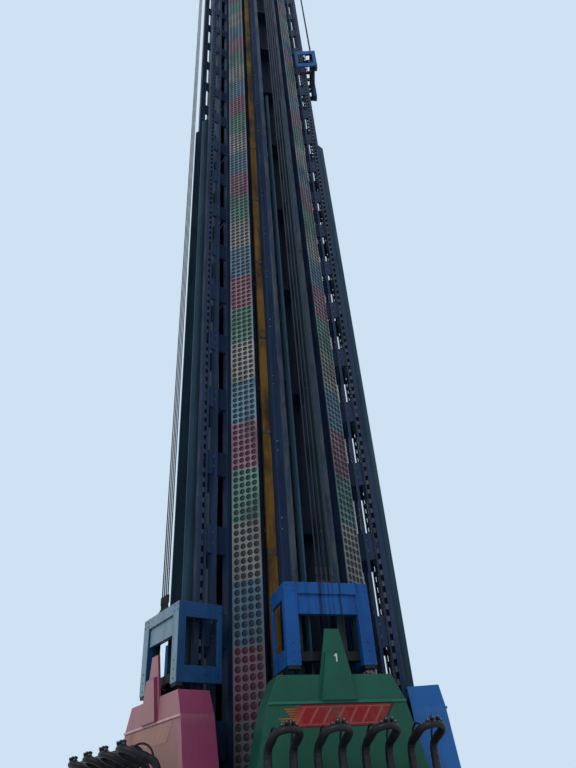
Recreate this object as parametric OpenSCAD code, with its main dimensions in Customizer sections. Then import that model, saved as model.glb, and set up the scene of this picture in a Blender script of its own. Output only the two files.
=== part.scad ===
// Five-sided drop tower ride at half its real size, in millimetres.
// The axis of the tower is Z, the ground is at z = 0 and the front face looks along -Y.
// Every face repeats the front one, turned by 72 degrees.
// In a face, x runs along it and r is the distance from the axis of the tower.

/* [Tower] */
// Height of the corner columns above the ground
tower_h = 29000; // [24000:500:32000]
// Distance from the axis to the plane of a face
face_r = 640; // [600:5:680]
// Width of a corner column along the edge of the tower
column_w = 250; // [220:5:270]
// Depth of a corner column towards the axis
column_d = 180; // [150:5:200]
// Height of the lowest ring frame
ring_z0 = 1250; // [900:50:1600]
// Spacing of the ring frames up the tower
ring_pitch = 1500; // [1200:50:2000]
// Thickness of a ring frame
ring_t = 40; // [20:2:60]
// Width of a ring frame towards the axis
ring_w = 170; // [150:5:220]
// Thickness of the core panels inside the ring frames
core_t = 8; // [4:1:14]

/* [Base] */
// Distance from the axis to a side of the ten-sided base plate
base_r = 1160; // [1130:5:1300]
// Thickness of the base plate
base_t = 60; // [40:5:90]
// Circle of the anchor holes
anchor_pcd = 2000; // [1900:10:2100]
// Radius of an anchor hole
anchor_hole_r = 18; // [12:1:24]

/* [Lamp panels] */
// Width of a lamp panel
panel_w = 262; // [240:2:290]
// Thickness of a lamp panel
panel_t = 8; // [4:1:14]
// Height of the foot of a lamp panel
panel_z0 = 200; // [120:10:400]

/* [Guide ladders] */
// Half the spacing of the two ladders of a face
ladder_x = 170; // [165:1:175]
// Height of one bay of a ladder
bay_h = 750; // [600:25:900]
// Height of the window in a bay
window_h = 500; // [380:10:560]
// Height of the centre of the lowest window
window_z0 = 130; // [100:10:200]
// Depth of the inner chord
inner_chord_d = 44; // [30:2:60]
// Width of the inner and middle chords
chord_w = 100; // [60:5:104]
// Width of the wide slot between the chords
slot_w = 109; // [90:1:115]
// Depth of the middle chord
mid_chord_d = 29; // [18:1:35]
// Width of the narrow slot behind the rail
narrow_slot_w = 63; // [50:1:66]
// Depth of the strip that carries the rack
strip_d = 15; // [10:1:20]
// Width of the strip that carries the rack
strip_w = 60; // [40:2:70]
// Thickness of the battens and of the rack blocks
batten_t = 24; // [16:2:30]
// Gap between strip and rail head, bridged by the rack blocks
rack_gap = 28; // [20:1:32]
// Height of a rack block
rack_block_h = 60; // [40:5:90]
// Depth of the rail head
head_d = 42; // [30:1:46]
// Width of the rail head
head_w = 50; // [44:2:56]

/* [Brake fins] */
// Height of the top of the brake fins
fin_top = 9450; // [7000:50:12000]
// Height of the foot of the brake fins
fin_foot = 300; // [200:10:600]
// Thickness of a brake fin
fin_t = 12; // [8:1:14]
// How far a fin stands out past the rail
fin_out = 75; // [60:5:80]
// Overlap of a fin behind the rail's nose
fin_lap = 70; // [60:5:90]
// Height of the slanted top of a fin
fin_slant = 130; // [60:10:200]
// Clear space between the fin and the rail head
fin_gap = 30; // [24:1:36]

/* [Cable ducts] */
// Distance of a cable duct's centre from the middle of its face
duct_x = 262; // [255:1:268]
// Width of a cable duct
duct_w = 76; // [60:2:80]
// Depth of a cable duct
duct_d = 55; // [40:5:60]
// Height of the foot of the cable ducts
duct_z0 = 1100; // [900:50:1230]
// Height left free above the cable ducts
duct_top_gap = 400; // [300:20:800]

/* [Head] */
// Thickness of the head plate on top of the columns
head_plate_t = 50; // [30:5:80]
// Distance from the axis to a side of the head plate
head_plate_r = 900; // [870:10:1000]
// Height of the beams that carry the sheaves
head_beam_h = 280; // [260:10:340]
// Thickness of a head beam
head_beam_t = 30; // [20:2:50]
// Distance from the axis to the inner end of a head beam
head_beam_r0 = 380; // [370:2:390]
// Radius of a sheave
sheave_r = 210; // [180:5:230]
// Width of a sheave
sheave_w = 170; // [160:5:200]
// Radius of a winch drum
drum_r = 120; // [100:5:140]
// Radius of the pins of sheaves and drums
head_pin_r = 24; // [16:2:32]

/* [Lift ropes] */
// Distance from the axis to the lift ropes
rope_r = 1142; // [1130:1:1150]
// Radius of a lift rope
rope_rad = 5.5; // [4:0.5:7]
// Spacing of the four lift ropes of a face
rope_pitch = 36; // [24:2:44]

/* [Catch car] */
// Height of the top of a catch car that sits on its gondola
catch_top = 2158; // [2120:2:2250]
// Height of a catch car
catch_h = 562; // [500:2:600]
// Half the width of a catch car
catch_half_w = 326; // [310:2:345]
// Distance from the axis to the front of a catch car
catch_front_r = 1166; // [1160:1:1200]
// How far a catch car reaches back along the rails
catch_d = 370; // [340:5:380]
// Width of a leg at the front
leg_w = 98; // [70:2:110]
// Depth of a front leg
leg_d = 62; // [40:2:70]
// Thickness of the side plates
catch_side_t = 22; // [14:1:30]
// Height of the top member
top_member_h = 82; // [60:2:100]
// Height of the recessed panel under the top member
recess_h = 138; // [100:2:160]
// How far the panel is set back
recess_d = 18; // [10:1:30]
// Height of the side plate's top and bottom beams
side_beam_h = 112; // [80:2:140]
// Height of the rope sockets on a catch car
socket_h = 120; // [80:5:160]
// Height of the rubber feet under the legs
foot_h = 22; // [12:2:40]
// How far the right catch car is parked above its gondola
parked_up = 10000; // [8000:100:12000]

/* [Rollers] */
// Radius of the rollers on the front of the rail
roller_r = 42; // [34:1:44]
// Width of a roller
roller_w = 26; // [18:1:30]
// Radius of the rollers on the side of the rail
side_roller_r = 30; // [22:1:34]
// Width of the rollers on the side of the rail
side_roller_w = 24; // [16:1:28]
// Thickness of the plates that hold a roller
cheek_t = 8; // [6:1:10]

/* [Gondola] */
// Height of the shoulders
shoulder_z = 1534; // [1500:2:1560]
// Half the width at the shoulders
shoulder_half_w = 408; // [380:2:430]
// Distance from the axis to the front of the shoulders
shoulder_r = 1186; // [1170:2:1200]
// Height of the ledge below the shoulders
ledge_z = 1375; // [1340:5:1400]
// Half the width at the ledge
ledge_half_w = 483; // [460:2:510]
// How far the ledge stands out past the shoulders
ledge_out = 8; // [2:1:16]
// Height at which the cowling reaches its full width
waist_z = 860; // [820:5:920]
// Half the full width
waist_half_w = 600; // [580:5:620]
// How far the waist stands out past the shoulders
waist_out = 16; // [8:1:30]
// Height of the bottom of the cowling
cowl_z0 = 260; // [220:5:300]
// Distance from the axis to the back of the cowling
cowl_back_r = 940; // [930:5:965]
// How far the lip at the ledge stands out
lip_out = 9; // [4:1:14]
// Height of the lip at the ledge
lip_h = 14; // [8:1:24]
// Wall of the cowling
cowl_wall = 14; // [8:1:20]
// Height of the top of the central spike
spike_z = 1825; // [1780:5:1840]
// Half the width of the spike's top
spike_half_w = 52; // [40:2:60]
// Half the width of the spike at the shoulders
spike_foot_half_w = 112; // [90:2:130]
// Thickness of the spike's plate
spike_t = 18; // [10:1:20]
// How far the spike's plate stands out past the shoulders
spike_set = 8; // [6:1:14]
// Height of the top of the box on the spike
spike_box_z = 1672; // [1620:4:1720]
// Half the width of the top of the box on the spike
spike_box_half_w = 68; // [56:2:76]
// Half the width of the foot of the box on the spike
spike_box_foot_half_w = 124; // [110:2:134]
// How far the box stands out in front of the spike's plate
spike_box_out = 30; // [20:2:40]

/* [Seats] */
// Spacing of the four seats
seat_pitch = 308; // [300:1:310]
// Width of a seat
seat_w = 262; // [240:2:276]
// Height of the seat's surface
seat_z = 350; // [330:5:370]
// Length of the seat pan
seat_len = 240; // [200:5:260]
// Thickness of the seat pan
seat_t = 40; // [24:2:50]
// Depth of the housing between the cowling and the front of a seat back
seat_back_d = 168; // [160:2:180]
// Height of the top of the seat back
back_top = 800; // [760:5:820]
// Thickness of the side bolsters
bolster_t = 22; // [14:1:26]
// Height of the side bolsters above the seat's surface
bolster_h = 70; // [40:2:80]
// Height of the bottom of the calf plate
calf_z0 = 130; // [110:5:180]

/* [Restraints] */
// Height of the restraint shaft
shaft_z = 850; // [845:1:870]
// How far the shaft lies behind the front of the seat backs
shaft_back = 8.2; // [0:0.2:20]
// Radius of the restraint shaft
shaft_r = 14; // [10:1:18]
// Radius of a restraint tube with its cover
tube_r = 18; // [14:1:20]
// Radius of the shoulder pads on the tubes
pad_r = 28; // [24:1:30]
// Half the width of a restraint's hoop
hoop_half_w = 78; // [70:1:84]
// Length of the raised arm from the bend to the outer end
hoop_out = 235; // [210:5:260]
// Rise of the bend above the shaft
hoop_up = 250; // [220:5:270]
// Slope of the raised arm in degrees
hoop_tilt = 20; // [10:1:25]
// Angle by which the restraints of the right gondola are lowered
right_lowered = 80; // [70:1:80]

/* [Hidden] */
$fn = 32;
sides = 5;
turn = 360 / sides;
seat = 0.2;
run = 0.3;
column_out = face_r / cos(turn / 2) + 4;
column_in = column_out - column_d;
column_z0 = base_t + seat;
core_r = face_r - ring_w - seat;
inner_chord_r = face_r + seat;
slot_r = inner_chord_r + inner_chord_d;
mid_chord_r = slot_r + slot_w;
narrow_r = mid_chord_r + mid_chord_d;
strip_r = narrow_r + narrow_slot_w;
rack_r = strip_r + strip_d;
rail_head_r = rack_r + rack_gap;
rail_r = rail_head_r + head_d;
ladder_z0 = base_t + seat;
ladder_top = tower_h - seat;
fin_x = ladder_x - head_w / 2 - fin_gap - fin_t;
fin_r0 = rail_r - fin_lap;
fin_r1 = rail_r + fin_out;
head_z = tower_h + seat;
beam_z0 = head_z + head_plate_t + seat;
sheave_c_r = rope_r - rope_rad - run - sheave_r;
sheave_z = beam_z0 + sheave_r + 12;
drum_c_r = 520;
head_beam_x = sheave_w / 2 + 12;
catch_bottom = catch_top - catch_h;
carriage_r = fin_r1 + 20;
roller_c_r = rail_r + run + roller_r;
side_roller_x = ladder_x + head_w / 2 + run + side_roller_r;
roller_in = 70;
hip_r = 60;
chassis_low = 380;
chassis_foot = chassis_low - 80;
ledge_r = shoulder_r + ledge_out;
waist_r = shoulder_r + waist_out;
seat_back_r = waist_r + seat;
seat_face_r = seat_back_r + seat_back_d;
shaft_boss_r = tube_r + 8;
shaft_r_pos = seat_face_r - shaft_back;

// A straight block in a face: ranges along the face, away from the axis and up
module block(x, r, z) {
    translate([x[0], -r[1], z[0]])
        cube([x[1] - x[0], r[1] - r[0], z[1] - z[0]]);
}

// The same block on both sides of the middle of the face
module pair(x, r, z) {
    block(x, r, z);
    block([-x[1], -x[0]], r, z);
}

// A round bar along the face
module cross_bar(x, r, z, rad) {
    translate([x[0], -r, z])
        rotate([0, 90, 0])
            cylinder(r = rad, h = x[1] - x[0]);
}

// A round bar that points away from the axis
module outward_bar(x, r, z, rad) {
    translate([x, -r[0], z])
        rotate([90, 0, 0])
            cylinder(r = rad, h = r[1] - r[0]);
}

// Puts a piece on face k, counted from the front one
module on_face(k) {
    rotate([0, 0, turn * k])
        children();
}

// Puts a piece on the corner after face k
module on_corner(k) {
    rotate([0, 0, turn * (k + 0.5)])
        children();
}

// Tower

module base_plate() {
    color("dimgray")
        difference() {
            rotate([0, 0, 18])
                cylinder(r = base_r / cos(18), h = base_t, $fn = 10);
            for (k = [0 : 9])
                rotate([0, 0, 36 * k + 18])
                    translate([0, -anchor_pcd / 2, -1])
                        cylinder(r = anchor_hole_r, h = base_t + 2);
        }
}

module corner_columns() {
    color("midnightblue")
        for (k = [0 : sides - 1])
            on_corner(k)
                block([-column_w / 2, column_w / 2], [column_in, column_out], [column_z0, tower_h]);
}

module ring_frames() {
    color("midnightblue")
        for (z = [ring_z0 : ring_pitch : tower_h - ring_t])
            difference() {
                translate([0, 0, z])
                    rotate([0, 0, turn / 2 - 90])
                        cylinder(r = face_r / cos(turn / 2), h = ring_t, $fn = sides);
                translate([0, 0, z - 1])
                    rotate([0, 0, turn / 2 - 90])
                        cylinder(r = (face_r - ring_w) / cos(turn / 2), h = ring_t + 2, $fn = sides);
                for (k = [0 : sides - 1])
                    on_corner(k)
                        block([-column_w / 2 - seat, column_w / 2 + seat],
                            [column_in - seat, column_out + seat], [z - 1, z + ring_t + 1]);
            }
}

// Plates that close the core of the tower, mitred where they meet
module core_panels() {
    inner = core_r - core_t;
    half = inner * tan(turn / 2) - 1;
    color("midnightblue")
        for (k = [0 : sides - 1])
            on_face(k)
                block([-half, half], [inner, core_r], [column_z0, tower_h]);
}

module lamp_panels() {
    color("lightsteelblue")
        for (k = [0 : sides - 1])
            on_corner(k)
                block([-panel_w / 2, panel_w / 2],
                    [column_out + seat, column_out + seat + panel_t], [panel_z0, tower_h - 100]);
}

module ladder() {
    half = batten_t / 2;
    batten_h = bay_h - window_h;
    tall = [ladder_z0, ladder_top];
    block([-chord_w / 2, chord_w / 2], [inner_chord_r, slot_r], tall);
    block([-chord_w / 2, chord_w / 2], [mid_chord_r, narrow_r], tall);
    block([-strip_w / 2, strip_w / 2], [strip_r, rack_r], tall);
    block([-head_w / 2, head_w / 2], [rail_head_r, rail_r], tall);
    for (z = [window_z0 + window_h / 2 : bay_h : ladder_top - batten_h]) {
        block([-half, half], [slot_r - 1, strip_r + 1], [z, z + batten_h]);
        block([-half, half], [rack_r - 1, rail_head_r + 1],
            [z + (batten_h - rack_block_h) / 2, z + (batten_h + rack_block_h) / 2]);
    }
}

module ladders(k) {
    color("midnightblue")
        on_face(k)
            for (side = [-1, 1])
                translate([side * ladder_x, 0, 0])
                    ladder();
}

module fin(side) {
    x0 = side > 0 ? fin_x : -fin_x - fin_t;
    inner = ladder_x - strip_w / 2 - seat;
    translate([x0, 0, 0])
        rotate([90, 0, 90])
            linear_extrude(height = fin_t)
                polygon([[-fin_r0, fin_foot], [-fin_r0, fin_top], [-rail_r, fin_top],
                    [-fin_r1, fin_top - fin_slant], [-fin_r1, fin_foot]]);
    for (z = [window_z0 + bay_h / 2 : bay_h : fin_top - 100])
        block(side > 0 ? [fin_x + fin_t - 1, inner] : [-inner, -fin_x - fin_t + 1],
            [strip_r, fin_r0 + 20], [z - 60, z + 60]);
}

module brake_fins() {
    color("slategray")
        for (k = [0 : sides - 1])
            on_face(k)
                for (side = [-1, 1])
                    fin(side);
}

module cable_ducts() {
    color("darkgoldenrod")
        for (k = [0 : sides - 1])
            on_face(k)
                block([-duct_x - duct_w / 2, -duct_x + duct_w / 2],
                    [face_r + seat, face_r + seat + duct_d], [duct_z0, tower_h - duct_top_gap]);
}

module landing_buffers() {
    color("dimgray")
        for (k = [0 : sides - 1])
            on_face(k)
                for (side = [-1, 1])
                    translate([side * 60, -carriage_r - 22, base_t + seat]) {
                        cylinder(r = 30, h = 20);
                        cylinder(r = 16, h = chassis_foot - run - base_t - seat);
                    }
}

// Head

module head_plate() {
    color("dimgray")
        translate([0, 0, head_z])
            rotate([0, 0, turn / 2 - 90])
                cylinder(r = head_plate_r / cos(turn / 2), h = head_plate_t, $fn = sides);
}

module head_beam(x) {
    difference() {
        block([x - head_beam_t / 2, x + head_beam_t / 2], [head_beam_r0, rope_r + 60],
            [beam_z0, beam_z0 + head_beam_h]);
        for (r = [drum_c_r, sheave_c_r])
            cross_bar([x - head_beam_t, x + head_beam_t], r, sheave_z, head_pin_r + 0.05);
    }
}

module head_beams() {
    color("dimgray")
        for (k = [0 : sides - 1])
            on_face(k)
                for (side = [-1, 1])
                    head_beam(side * (head_beam_x + head_beam_t / 2));
}

module rope_sheaves() {
    reach = head_beam_x + head_beam_t + 6;
    color("gray")
        for (k = [0 : sides - 1])
            on_face(k) {
                cross_bar([-sheave_w / 2, sheave_w / 2], sheave_c_r, sheave_z, sheave_r);
                cross_bar([-reach, reach], sheave_c_r, sheave_z, head_pin_r);
            }
}

module winch_drums() {
    reach = head_beam_x + head_beam_t + 6;
    color("gray")
        for (k = [0 : sides - 1])
            on_face(k) {
                cross_bar([-sheave_w / 2, sheave_w / 2], drum_c_r, sheave_z, drum_r);
                cross_bar([-reach, reach], drum_c_r, sheave_z, head_pin_r);
            }
}

module ropes(k) {
    foot = (k == 1 ? catch_top + parked_up : catch_top) + socket_h + 2 * seat;
    color("silver")
        on_face(k)
            for (i = [-1.5 : 1 : 1.5])
                translate([i * rope_pitch, -rope_r, foot])
                    cylinder(r = rope_rad, h = sheave_z - foot, $fn = 8);
}

// Catch car

module side_plate() {
    back = catch_front_r - catch_d;
    difference() {
        block([catch_half_w - catch_side_t, catch_half_w], [back, catch_front_r],
            [catch_bottom, catch_top]);
        block([catch_half_w - catch_side_t - 1, catch_half_w + 1],
            [back + 40, catch_front_r - leg_d],
            [catch_bottom + side_beam_h, catch_top - side_beam_h]);
    }
}

module catch_frame(k) {
    inner = catch_half_w - leg_w;
    color(k == -1 ? "lightskyblue" : "dodgerblue")
        on_face(k)
            translate([0, 0, k == 1 ? parked_up : 0]) {
                for (side = [0, 1])
                    mirror([side, 0, 0])
                        side_plate();
                pair([inner, catch_half_w - catch_side_t + 1], [catch_front_r - leg_d, catch_front_r],
                    [catch_bottom, catch_top]);
                block([-inner - 1, inner + 1], [catch_front_r - leg_d, catch_front_r],
                    [catch_top - top_member_h, catch_top]);
                block([-inner - 1, inner + 1],
                    [catch_front_r - leg_d, catch_front_r - recess_d],
                    [catch_top - top_member_h - recess_h, catch_top - top_member_h + 1]);
            }
}

// Roller unit at height z: front rollers between cheeks and side rollers on arms
module roller_unit(z, arm_end) {
    for (side = [0, 1])
        mirror([side, 0, 0]) {
            cross_bar([ladder_x - roller_w / 2, ladder_x + roller_w / 2], roller_c_r, z, roller_r);
            cross_bar([ladder_x - roller_w / 2 - cheek_t, ladder_x + roller_w / 2 + cheek_t],
                roller_c_r, z, 10);
            for (x = [ladder_x - roller_w / 2 - cheek_t - 1, ladder_x + roller_w / 2 + 1])
                block([x, x + cheek_t], [roller_c_r - 16, carriage_r + 1], [z - 22, z + 22]);
            outward_bar(side_roller_x, [rail_r - side_roller_w, rail_r], z, side_roller_r);
            outward_bar(side_roller_x, [rail_r - side_roller_w, rail_r + 22], z, 9);
            block([side_roller_x - 14, arm_end], [rail_r + 8, rail_r + 24], [z - 18, z + 18]);
            block([arm_end - 24, arm_end], [rail_r + 8, carriage_r + 1], [z - 18, z + 18]);
        }
}

module rope_socket() {
    translate([0, -rope_r, catch_top + seat]) {
        cylinder(r = 15, h = 24);
        cylinder(r = 8, h = socket_h * 0.55);
        translate([0, 0, socket_h * 0.5])
            cylinder(r = 12, h = socket_h * 0.5);
    }
}

module catch_carriage(k) {
    back = catch_front_r - leg_d - seat;
    arm_end = catch_half_w - catch_side_t - seat;
    low = catch_bottom + roller_in;
    high = catch_top - roller_in;
    inner = catch_half_w - leg_w;
    color("darkslategray")
        on_face(k)
            translate([0, 0, k == 1 ? parked_up : 0]) {
                for (z = [low, high]) {
                    block([-arm_end, arm_end], [carriage_r, back], [z - 30, z + 30]);
                    roller_unit(z, arm_end);
                }
                pair([ladder_x + 40, ladder_x + 80], [carriage_r, back], [low, high]);
                for (i = [-1.5 : 1 : 1.5])
                    translate([i * rope_pitch, 0, 0])
                        rope_socket();
                block([-2 * rope_pitch, 2 * rope_pitch], [rope_r - 18, rope_r + 18],
                    [catch_top + seat, catch_top + seat + 10]);
                pair([inner + 6, catch_half_w - 6], [catch_front_r - leg_d + 6, catch_front_r - 4],
                    [catch_bottom - seat - foot_h, catch_bottom - seat]);
            }
}

// Gondola

// Outline of the cowling seen from the front, drawn in by a margin
function cowl_front_outline(m) = [
    [-waist_half_w + m, cowl_z0], [waist_half_w - m, cowl_z0], [waist_half_w - m, waist_z],
    [ledge_half_w - m, ledge_z], [shoulder_half_w - m, shoulder_z - m],
    [-shoulder_half_w + m, shoulder_z - m], [-ledge_half_w + m, ledge_z], [-waist_half_w + m, waist_z]];

// Outline of the cowling seen from the side, drawn in by a margin at the front
function cowl_side_outline(m, back) = [
    [-back, cowl_z0], [-waist_r + m, cowl_z0], [-waist_r + m, waist_z], [-ledge_r + m, ledge_z],
    [-shoulder_r + m, shoulder_z - max(m, 0)], [-back, shoulder_z - max(m, 0)]];

module front_prism(points) {
    rotate([90, 0, 0])
        linear_extrude(height = 2000)
            polygon(points);
}

module side_prism(points, half_w) {
    translate([-half_w, 0, 0])
        rotate([90, 0, 90])
            linear_extrude(height = 2 * half_w)
                polygon(points);
}

// Plate that rises from the cowling, with a box on its lower part
module spike() {
    front = shoulder_r + spike_set;
    wide = spike_foot_half_w + 100;
    intersection() {
        front_prism([[-spike_foot_half_w, ledge_z], [spike_foot_half_w, ledge_z],
            [spike_foot_half_w, shoulder_z], [spike_half_w, spike_z], [-spike_half_w, spike_z],
            [-spike_foot_half_w, shoulder_z]]);
        block([-wide, wide], [front - spike_t, front], [ledge_z, spike_z]);
    }
    intersection() {
        front_prism([[-spike_box_foot_half_w, ledge_z], [spike_box_foot_half_w, ledge_z],
            [spike_box_half_w, spike_box_z], [-spike_box_half_w, spike_box_z]]);
        side_prism([[-front + 4, ledge_z], [-front - spike_box_out, ledge_z],
            [-front - spike_box_out, spike_box_z - 16], [-front - spike_box_out + 16, spike_box_z],
            [-front + 4, spike_box_z]], wide);
    }
}

module ledge_lip() {
    block([-ledge_half_w, ledge_half_w], [ledge_r - cowl_wall, ledge_r + lip_out],
        [ledge_z - lip_h, ledge_z]);
}

module cowling(k, paint) {
    inner_top = shoulder_z - cowl_wall;
    color(paint)
        on_face(k)
            difference() {
                union() {
                    intersection() {
                        front_prism(cowl_front_outline(0));
                        side_prism(cowl_side_outline(0, cowl_back_r), waist_half_w);
                    }
                    if (k != 1)
                        spike();
                    ledge_lip();
                }
                translate([0, 0, -1])
                    intersection() {
                        front_prism(cowl_front_outline(cowl_wall));
                        side_prism(cowl_side_outline(cowl_wall, cowl_back_r - 50), waist_half_w);
                    }
                block([-ladder_x - 100, ladder_x + 100], [cowl_back_r - 50, fin_r1 + 15],
                    [inner_top - 2, shoulder_z + 1]);
            }
}

module chassis(k) {
    wall = waist_r - cowl_wall - seat;
    arm_end = 300;
    low = chassis_low;
    high = shoulder_z - cowl_wall - 60;
    color("darkslategray")
        on_face(k) {
            for (z = [low, high]) {
                block([-arm_end, arm_end], [carriage_r, carriage_r + 44], [z - 30, z + 30]);
                roller_unit(z, arm_end);
            }
            pair([ladder_x - 30, ladder_x + 30], [carriage_r, carriage_r + 44], [chassis_foot, high]);
            pair([ladder_x - 30, ladder_x + 30], [carriage_r + 43, wall], [low - 30, low + 30]);
            block([-100, 100], [carriage_r, carriage_r + 44], [chassis_foot, low - 29]);
            block([-arm_end, arm_end], [wall - 30, wall], [low - 30, low + 30]);
        }
}

// Side profile of a seat: back, hip curve, pan and rolled front edge
function seat_profile() = concat(
    [[-seat_back_r, seat_z - seat_t], [-seat_back_r, back_top - 60], [-seat_back_r - 60, back_top],
        [-seat_face_r + 12, back_top], [-seat_face_r, back_top - 12]],
    [for (a = [0 : 15 : 90])
        [-seat_face_r - hip_r * (1 - cos(a)), seat_z + hip_r * (1 - sin(a))]],
    [for (a = [90 : -30 : -30])
        [-seat_face_r - seat_len + seat_t / 2 - seat_t / 2 * cos(a),
            seat_z - seat_t / 2 + seat_t / 2 * sin(a)]],
    [[-seat_face_r - 60, seat_z - seat_t]]);

module seat_shell() {
    half = seat_w / 2;
    front = seat_face_r + seat_len;
    side_prism(seat_profile(), half - 1);
    for (side = [0, 1])
        mirror([side, 0, 0])
            translate([half - bolster_t, 0, 0])
                rotate([90, 0, 90])
                    linear_extrude(height = bolster_t)
                        polygon([[-seat_back_r, seat_z - seat_t], [-seat_back_r, back_top - 60],
                            [-seat_face_r - 26, back_top - 120], [-seat_face_r - 34, seat_z + bolster_h + 40],
                            [-seat_face_r - 70, seat_z + bolster_h], [-front + 46, seat_z + bolster_h],
                            [-front + 26, seat_z + bolster_h - 26], [-front + 26, seat_z - seat_t]]);
    block([-half + 26, half - 26], [front - 36, front - 12], [calf_z0, seat_z - 8]);
}

module seats(k) {
    end = 2 * seat_pitch - 10;
    color("dimgray")
        on_face(k) {
            for (i = [-1.5 : 1 : 1.5])
                translate([i * seat_pitch, 0, 0])
                    seat_shell();
            block([-end, end], [seat_back_r, seat_back_r + 20], [seat_z + 60, seat_z + 110]);
            for (i = [-2 : 1 : 2])
                difference() {
                    x = i * seat_pitch * 0.982;
                    block([x - 8, x + 8], [seat_back_r, shaft_r_pos + 20], [seat_z + 60, shaft_z + 24]);
                    cross_bar([x - 20, x + 20], shaft_r_pos, shaft_z, shaft_r + 0.05);
                }
        }
}

// A raised restraint: up from the shaft, outwards and round the end
module hoop() {
    for (x = [-hoop_half_w, hoop_half_w]) {
        cross_bar([x - tube_r - 3, x + tube_r + 3], shaft_r_pos, shaft_z, shaft_boss_r);
        translate([x, -shaft_r_pos, shaft_z])
            cylinder(r = tube_r, h = hoop_up);
        translate([x, -shaft_r_pos, shaft_z + 60])
            cylinder(r = pad_r, h = hoop_up - 90);
        translate([x, -shaft_r_pos, shaft_z + hoop_up])
            sphere(r = tube_r + 1.5);
    }
    translate([0, -shaft_r_pos, shaft_z + hoop_up])
        rotate([90 - hoop_tilt, 0, 0]) {
            for (x = [-hoop_half_w, hoop_half_w])
                translate([x, 0, 0])
                    cylinder(r = tube_r, h = hoop_out - hoop_half_w);
            translate([0, 0, hoop_out - hoop_half_w])
                rotate([90, 0, 0])
                    rotate_extrude(angle = 180)
                        translate([hoop_half_w, 0])
                            circle(r = tube_r);
        }
}

module restraints(k) {
    end = 2 * seat_pitch * 0.982 + 12;
    color("black")
        on_face(k)
            translate([0, -shaft_r_pos, shaft_z])
                rotate([k == 1 ? right_lowered : 0, 0, 0])
                    translate([0, shaft_r_pos, -shaft_z]) {
                        cross_bar([-end, end], shaft_r_pos, shaft_z, shaft_r);
                        for (i = [-1.5 : 1 : 1.5])
                            translate([i * seat_pitch, 0, 0])
                                hoop();
                    }
}

base_plate();
corner_columns();
ring_frames();
core_panels();
lamp_panels();
brake_fins();
cable_ducts();
landing_buffers();
head_plate();
head_beams();
rope_sheaves();
winch_drums();
ladders(0);  // front_ladders
ladders(1);  // right_ladders
ladders(2);  // rear_right_ladders
ladders(-2);  // rear_left_ladders
ladders(-1);  // left_ladders
ropes(0);  // front_ropes
ropes(1);  // right_ropes
ropes(2);  // rear_right_ropes
ropes(-2);  // rear_left_ropes
ropes(-1);  // left_ropes
catch_frame(0);  // front_catch_frame
catch_frame(1);  // right_catch_frame
catch_frame(2);  // rear_right_catch_frame
catch_frame(-2);  // rear_left_catch_frame
catch_frame(-1);  // left_catch_frame
catch_carriage(0);  // front_catch_carriage
catch_carriage(1);  // right_catch_carriage
catch_carriage(2);  // rear_right_catch_carriage
catch_carriage(-2);  // rear_left_catch_carriage
catch_carriage(-1);  // left_catch_carriage
cowling(0, "seagreen");  // front_cowling
cowling(1, "royalblue");  // right_cowling
cowling(2, "gold");  // rear_right_cowling
cowling(-2, "firebrick");  // rear_left_cowling
cowling(-1, "palevioletred");  // left_cowling
chassis(0);  // front_chassis
chassis(1);  // right_chassis
chassis(2);  // rear_right_chassis
chassis(-2);  // rear_left_chassis
chassis(-1);  // left_chassis
seats(0);  // front_seats
seats(1);  // right_seats
seats(2);  // rear_right_seats
seats(-2);  // rear_left_seats
seats(-1);  // left_seats
restraints(0);  // front_restraints
restraints(1);  // right_restraints
restraints(2);  // rear_right_restraints
restraints(-2);  // rear_left_restraints
restraints(-1);  // left_restraints
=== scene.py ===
import math

import bmesh
import bpy
from mathutils import Matrix, Vector


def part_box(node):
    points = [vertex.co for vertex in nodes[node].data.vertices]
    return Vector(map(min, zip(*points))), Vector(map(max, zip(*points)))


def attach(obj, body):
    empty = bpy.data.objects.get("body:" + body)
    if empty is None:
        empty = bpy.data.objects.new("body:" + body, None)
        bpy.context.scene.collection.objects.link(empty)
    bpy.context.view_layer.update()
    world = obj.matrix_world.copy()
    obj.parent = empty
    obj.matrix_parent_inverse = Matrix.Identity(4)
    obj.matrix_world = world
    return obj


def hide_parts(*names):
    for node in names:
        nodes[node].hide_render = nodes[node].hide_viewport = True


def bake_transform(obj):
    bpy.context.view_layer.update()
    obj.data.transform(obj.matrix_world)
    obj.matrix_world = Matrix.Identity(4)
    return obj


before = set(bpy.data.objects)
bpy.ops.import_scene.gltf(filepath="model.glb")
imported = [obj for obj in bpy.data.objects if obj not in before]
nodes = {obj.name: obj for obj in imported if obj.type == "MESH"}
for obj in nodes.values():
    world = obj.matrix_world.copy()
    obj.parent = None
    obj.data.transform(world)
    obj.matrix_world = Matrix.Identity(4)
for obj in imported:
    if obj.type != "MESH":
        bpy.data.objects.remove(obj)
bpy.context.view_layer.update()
print("frame loaded")

# the five faces of the tower: name and number of 72 degree turns from the front one
faces = {"front": 0, "right": 1, "rear_right": 2, "rear_left": -2, "left": -1}
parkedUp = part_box("right_catch_frame")[0].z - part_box("front_catch_frame")[0].z

# plan sizes in metres, as distances from the tower's axis
plan = {
    "faceRadius": 0.640,
    "columnOut": 0.7951,
    "ladderX": 0.170,
    "stripOut": 0.9002,
    "railHead": 0.9282,
    "railFront": 0.9702,
    "ropeRadius": 1.142,
    "ropePitch": 0.036,
    "bay": 0.75,
}


def turnOf(k):
    return Matrix.Rotation(math.radians(72 * k), 4, "Z")


# small helpers for meshes

def meshObject(name, verts, polys, smooth=False):
    mesh = bpy.data.meshes.new(name)
    mesh.from_pydata([tuple(v) for v in verts], [], polys)
    mesh.update()
    if smooth:
        mesh.shade_smooth()
    obj = bpy.data.objects.new(name, mesh)
    bpy.context.scene.collection.objects.link(obj)
    return obj


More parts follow.
